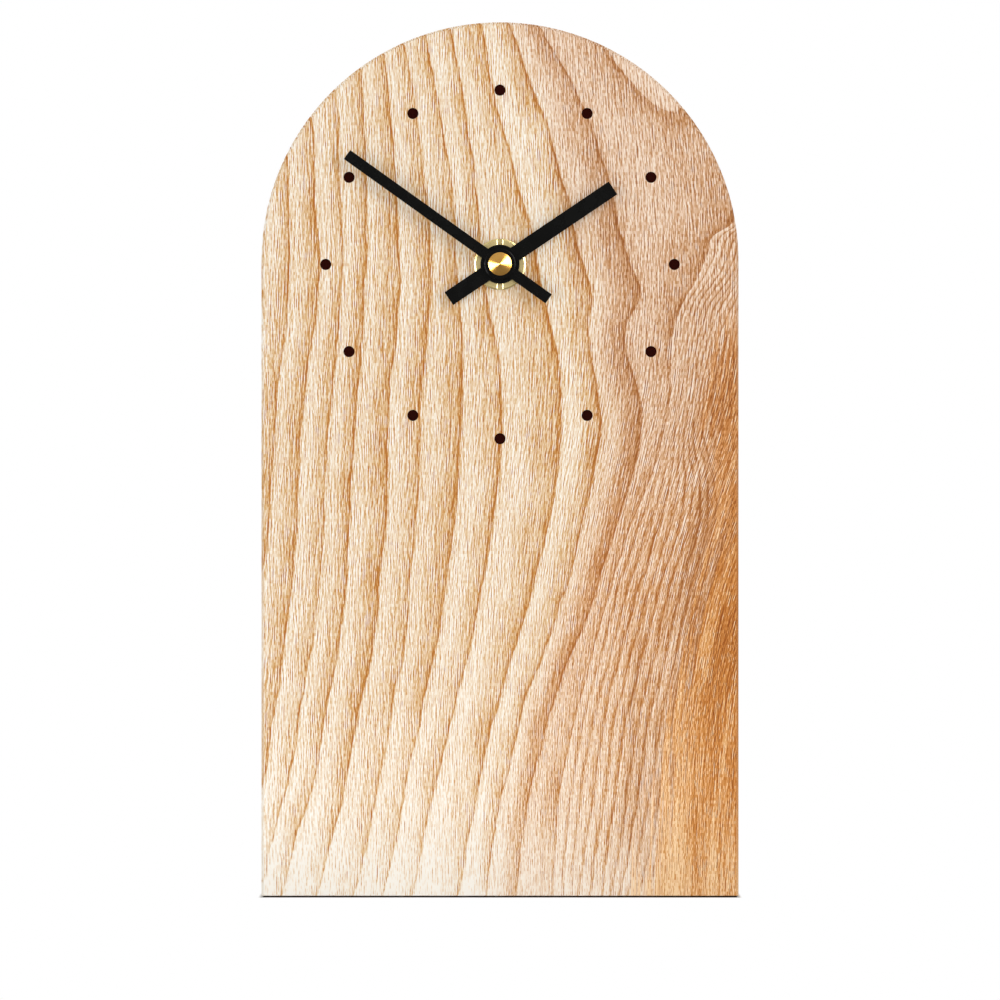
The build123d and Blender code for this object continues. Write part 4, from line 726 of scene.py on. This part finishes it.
def make_cover_marks(material):
    """Raised marks on the movement's cover: arrows for turning the knob, and the poles of the cell."""
    form = bmesh.new()
    half = MARK_WIDTH / 2
    barb = ARROW_HEAD_WIDTHS * half
    for side in (-1, 1):
        steps = [ARROW_START + ARROW_SWEEP * i / ARROW_STEPS for i in range(ARROW_STEPS + 1)]
        turns = [math.radians(ARROW_TOP + side * step) for step in steps]
        end = turns[-1]
        tip = end + side * math.radians(ARROW_HEAD)
        rim = [(ARROW_RADIUS + half, turn) for turn in turns]
        head = [(ARROW_RADIUS + barb, end), (ARROW_RADIUS, tip), (ARROW_RADIUS - barb, end)]
        back = [(ARROW_RADIUS - half, turn) for turn in reversed(turns)]
        around = rim + head + back
        raise_mark(form, [(KNOB.x + r * math.cos(a), KNOB.z + r * math.sin(a)) for r, a in around])
    height = COVER_BOX[0].z + POLE_MARK_HEIGHT
    arm = POLE_MARK_SIZE / 2
    minus = CELL_BOX[0].x + POLE_MARK_INSET
    bar = ((-arm, -half), (arm, -half), (arm, half), (-arm, half))
    raise_mark(form, [(minus + x, height + z) for x, z in bar])
    plus = CELL_BOX[1].x - POLE_MARK_INSET
    quarter = ((half, half), (half, arm), (-half, arm))
    cross = []
    for turn in range(4):
        swing = Matrix.Rotation(turn * math.pi / 2, 2)
        cross += [swing @ Vector(corner) for corner in quarter]
    raise_mark(form, [(plus + corner.x, height + corner.y) for corner in cross])
    bmesh.ops.recalc_face_normals(form, faces=form.faces)
    mesh = bpy.data.meshes.new("cover_marks")
    form.to_mesh(mesh)
    form.free()
    mesh.materials.append(material)
    marks = bpy.data.objects.new("cover_marks", mesh)
    bpy.context.scene.collection.objects.link(marks)
    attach(marks, "clock")


def dress(material, *names):
    """Gives CAD nodes a material in place of their own."""
    for name in names:
        NODES[name].data.materials.clear()
        NODES[name].data.materials.append(material)


def make_camera():
    """A level camera in front of the clock, whose frame takes in what the photograph does."""
    camera = bpy.data.objects.new("camera", bpy.data.cameras.new("camera"))
    camera.data.sensor_width = SENSOR_WIDTH
    camera.data.lens = SENSOR_WIDTH * CAMERA_DISTANCE / PICTURE_WIDTH
    camera.location = (0, FACE_Y - CAMERA_DISTANCE, CAMERA_HEIGHT)
    camera.rotation_euler = (math.radians(90), 0, 0)
    bpy.context.scene.collection.objects.link(camera)
    bpy.context.scene.camera = camera


def make_strip_light(name, turn, length):
    """A strip lamp beside the camera, where the cone of the cap nut mirrors it to the viewer."""
    lamp = bpy.data.lights.new(name, "AREA")
    lamp.shape = "RECTANGLE"
    lamp.size = STRIP_WIDTH
    lamp.size_y = length
    lamp.energy = STRIP_POWER_PER_METRE * length
    strip = bpy.data.objects.new(name, lamp)
    bearing = math.radians(STRIP_BEARING)
    angle = math.radians(turn)
    outward = Vector((math.cos(angle), 0, math.sin(angle)))
    away = math.sin(bearing) * outward - math.cos(bearing) * Vector((0, 1, 0))
    along = Vector((-math.sin(angle), 0, math.cos(angle)))
    axes = Matrix((along.cross(away), along, away)).transposed()
    strip.matrix_world = Matrix.Translation(HUB + STRIP_DISTANCE * away) @ axes.to_4x4()
    bpy.context.scene.collection.objects.link(strip)


def make_world():
    """White to the eye; grey on the viewer's side in mirrors; as light, soft with a glow in front."""
    world = bpy.data.worlds.new("studio")
    bpy.context.scene.world = world
    world.use_nodes = True
    tree = world.node_tree
    rays = add(tree, "ShaderNodeLightPath").outputs
    direction = add(tree, "ShaderNodeTexCoord").outputs["Generated"]
    _, backward, upward = add(tree, "ShaderNodeSeparateXYZ", {0: direction}).outputs
    viewer_side = span(VIEWER_SIDE_RISE, VIEWER_SIDE_LEVELS)
    viewer_side = add(tree, "ShaderNodeMapRange", {"Value": upward, **viewer_side})
    room = {"Value": backward, **span(BACKDROP_CHANGE, (viewer_side, 1.0))}
    room = add(tree, "ShaderNodeMapRange", room)
    front = {"Value": backward, **span(GLOW_EDGE, (FRONT_GLOW, FRONT_FILL))}
    front = add(tree, "ShaderNodeMapRange", front)
    fill = {"Value": backward, **span(FILL_CHANGE, (front, REAR_FILL))}
    fill = add(tree, "ShaderNodeMapRange", fill)
    mirrored = {0: rays["Is Glossy Ray"], 1: rays["Is Transmission Ray"]}
    mirrored = add(tree, "ShaderNodeMath", mirrored, operation="MAXIMUM")
    level = add(tree, "ShaderNodeMix", {"Factor": mirrored, 2: fill, 3: room}, data_type="FLOAT")
    level = {"Factor": rays["Is Camera Ray"], 2: level, 3: 1.0}
    level = add(tree, "ShaderNodeMix", level, data_type="FLOAT")
    tree.links.new(level.outputs[0], tree.nodes["Background"].inputs["Strength"])
    tree.nodes["Background"].inputs["Color"].default_value = (1, 1, 1, 1)


def make_floor():
    """A white table top: it keeps the shadow at the clock's foot and goes to plain white away from it."""
    mesh = bpy.data.meshes.new("table_top")
    form = bmesh.new()
    bmesh.ops.create_circle(form, cap_ends=True, segments=FLOOR_SEGMENTS, radius=FLOOR_RADIUS)
    form.to_mesh(mesh)
    form.free()
    floor = bpy.data.objects.new("table_top", mesh)
    floor.location.z = CAD_BOX[0].z
    bpy.context.scene.collection.objects.link(floor)
    material, tree, shader, place = new_material("table_top_white_laminate")
    shader.inputs["Base Color"].default_value = linear(FLOOR_COLOUR)
    shader.inputs["Roughness"].default_value = FLOOR_ROUGHNESS
    shader.inputs["Specular IOR Level"].default_value = 0.0
    half = (BODY_BOX[1] - BODY_BOX[0]) / 2 / MM
    outside = add(tree, "ShaderNodeVectorMath", {0: place}, operation="ABSOLUTE")
    outside = add(tree, "ShaderNodeVectorMath", {0: outside, 1: (half.x, half.y, 0)}, operation="SUBTRACT")
    outside = add(tree, "ShaderNodeVectorMath", {0: outside, 1: (0, 0, 0)}, operation="MAXIMUM")
    outside = add(tree, "ShaderNodeVectorMath", {0: outside, 1: FLOOR_FADE}, operation="DIVIDE")
    distance = add(tree, "ShaderNodeVectorMath", {0: outside}, operation="LENGTH").outputs["Value"]
    away = add(tree, "ShaderNodeMapRange", {"Value": distance}, interpolation_type="SMOOTHERSTEP")
    rays = add(tree, "ShaderNodeLightPath").outputs
    seen = {0: rays["Is Camera Ray"], 1: rays["Is Glossy Ray"]}
    seen = add(tree, "ShaderNodeMath", seen, operation="MAXIMUM")
    share = add(tree, "ShaderNodeMath", {0: away, 1: seen}, operation="MULTIPLY")
    white = add(tree, "ShaderNodeEmission", {"Color": (1, 1, 1, 1), "Strength": 1.0})
    mixed = add(tree, "ShaderNodeMixShader", {0: share, 1: shader, 2: white})
    tree.links.new(mixed.outputs[0], tree.nodes["Material Output"].inputs["Surface"])
    mesh.materials.append(material)


make_camera()
make_world()
make_floor()
for strip_facts in STRIPS:
    make_strip_light(*strip_facts)

dress(oiled_ash(), "wood_body")

# Walnut dowels, cut across: end grain of a brown that is almost black, with hardly any gloss
walnut = uneven_finish(
    "walnut_dowel_end_grain",
    ("1C0200", "2E0802"),
    patch=0.4,
    roughness=(0.6, 0.75),
    grain=0.2,
    relief=0.03,
    specular=0.03,
)
dress(walnut, *[f"hour_peg_{hour:02d}" for hour in range(1, 13)])

# Hands of sheet aluminium with a matt black lacquer: an even black that hides the metal
black_lacquer = uneven_finish(
    "aluminium_matt_black_lacquer",
    ("070706", "0B0B0A"),
    patch=3.0,
    roughness=(0.22, 0.3),
    grain=0.25,
    relief=0.01,
    specular=0.1,
)
dress(black_lacquer, "hour_hand", "minute_hand")

# The cap nut is polished after turning: deep yellow, with a sharp wedge of light on its cone
bright_brass = turned_brass(
    "brass_turned_bright",
    ("C48A30", "E2AC4C"),
    groove=0.08,
    roughness=(0.12, 0.2),
    anisotropy=0.6,
    lacquer=1.0,
)
dress(bright_brass, "cap_nut")

# Nut, bush and tube are left as turned: paler brass with softer light
satin_brass = turned_brass(
    "brass_turned_satin",
    ("DEC684", "F6E0A2"),
    groove=0.12,
    roughness=(0.2, 0.3),
    anisotropy=0.5,
    lacquer=0.6,
)
dress(satin_brass, "mounting_nut", "threaded_bush", "minute_tube")

# Black ABS from a grained mould: a dull sheen, broken up
black_abs = uneven_finish(
    "abs_moulded_black", ("101012", "242427"), patch=5.0, roughness=(0.38, 0.62), grain=0.6, relief=0.05
)
dress(black_abs, "movement_case", "movement_cover", "set_knob")

# Nitrile rubber: black without gloss
rubber = uneven_finish(
    "nitrile_rubber_moulded", ("141414", "1F1F1E"), patch=4.0, roughness=(0.75, 0.9), grain=0.3, relief=0.02
)
dress(rubber, "gasket")

# Acetal in its natural colour: waxy off-white
acetal = uneven_finish(
    "acetal_moulded_natural", ("DAD6C8", "ECE9DF"), patch=4.0, roughness=(0.3, 0.45), grain=0.3, relief=0.01
)
dress(
    acetal,
    "hour_wheel",
    "motion_wheel",
    "setting_pinion",
    "minute_wheel",
    "third_wheel",
    "second_wheel",
    "intermediate_wheel",
    "rotor_pinion",
    "train_bridge",
    "coil_bobbin",
)

# Ground steel: bright grey under a fine, even haze
ground_steel = uneven_finish(
    "steel_ground",
    ("9A9A9C", "C2C2C4"),
    patch=2.0,
    roughness=(0.2, 0.35),
    grain=0.1,
    relief=0.005,
    metallic=1.0,
)
dress(ground_steel, "second_arbor", "clutch_washer", "quartz_crystal")

# Silicon steel as rolled: a duller, darker grey
rolled_steel = uneven_finish(
    "silicon_steel_rolled",
    ("6C6E72", "8C8E92"),
    patch=5.0,
    roughness=(0.35, 0.5),
    grain=0.2,
    relief=0.01,
    metallic=1.0,
)
dress(rolled_steel, "stator", "coil_core")

# Pressed ferrite: charcoal, like fine stone
ferrite = uneven_finish(
    "ferrite_pressed", ("2A2A2C", "3A3A3D"), patch=1.0, roughness=(0.55, 0.7), grain=0.15, relief=0.02
)
dress(ferrite, "rotor_magnet")

# Copper wire under enamel: reddish brown with a soft shine
copper_wire = uneven_finish(
    "copper_wire_enamelled",
    ("8A4A20", "B86A34"),
    patch=1.2,
    roughness=(0.25, 0.4),
    grain=0.15,
    relief=0.04,
    metallic=1.0,
)
dress(copper_wire, "coil_winding")

# Epoxy board under a green solder mask: smooth, slightly glossy
solder_mask = uneven_finish(
    "epoxy_board_green_mask", ("0E4A2A", "1A6A3E"), patch=3.0, roughness=(0.3, 0.45), grain=0.2, relief=0.01
)
dress(solder_mask, "circuit_board")

# A drop of black epoxy over the chip: smooth and a little glossy
resin = uneven_finish(
    "epoxy_resin_black", ("0C0C0D", "1A1A1C"), patch=2.0, roughness=(0.25, 0.4), grain=0.4, relief=0.02
)
dress(resin, "chip_cap")

# Spring steel plated with nickel: warm, bright grey
nickel = uneven_finish(
    "spring_steel_nickel_plated",
    ("A9A79E", "CFCDC4"),
    patch=2.0,
    roughness=(0.18, 0.32),
    grain=0.2,
    relief=0.005,
    metallic=1.0,
)
dress(nickel, "contact_positive", "contact_negative")

dress(battery_film(), "battery")

make_cover_marks(black_abs)
winding_group = winding_tree()
wind_bush_thread(winding_group, satin_brass)
wind_coil_wire(winding_group, copper_wire)

bpy.context.scene.view_settings.view_transform = "Standard"
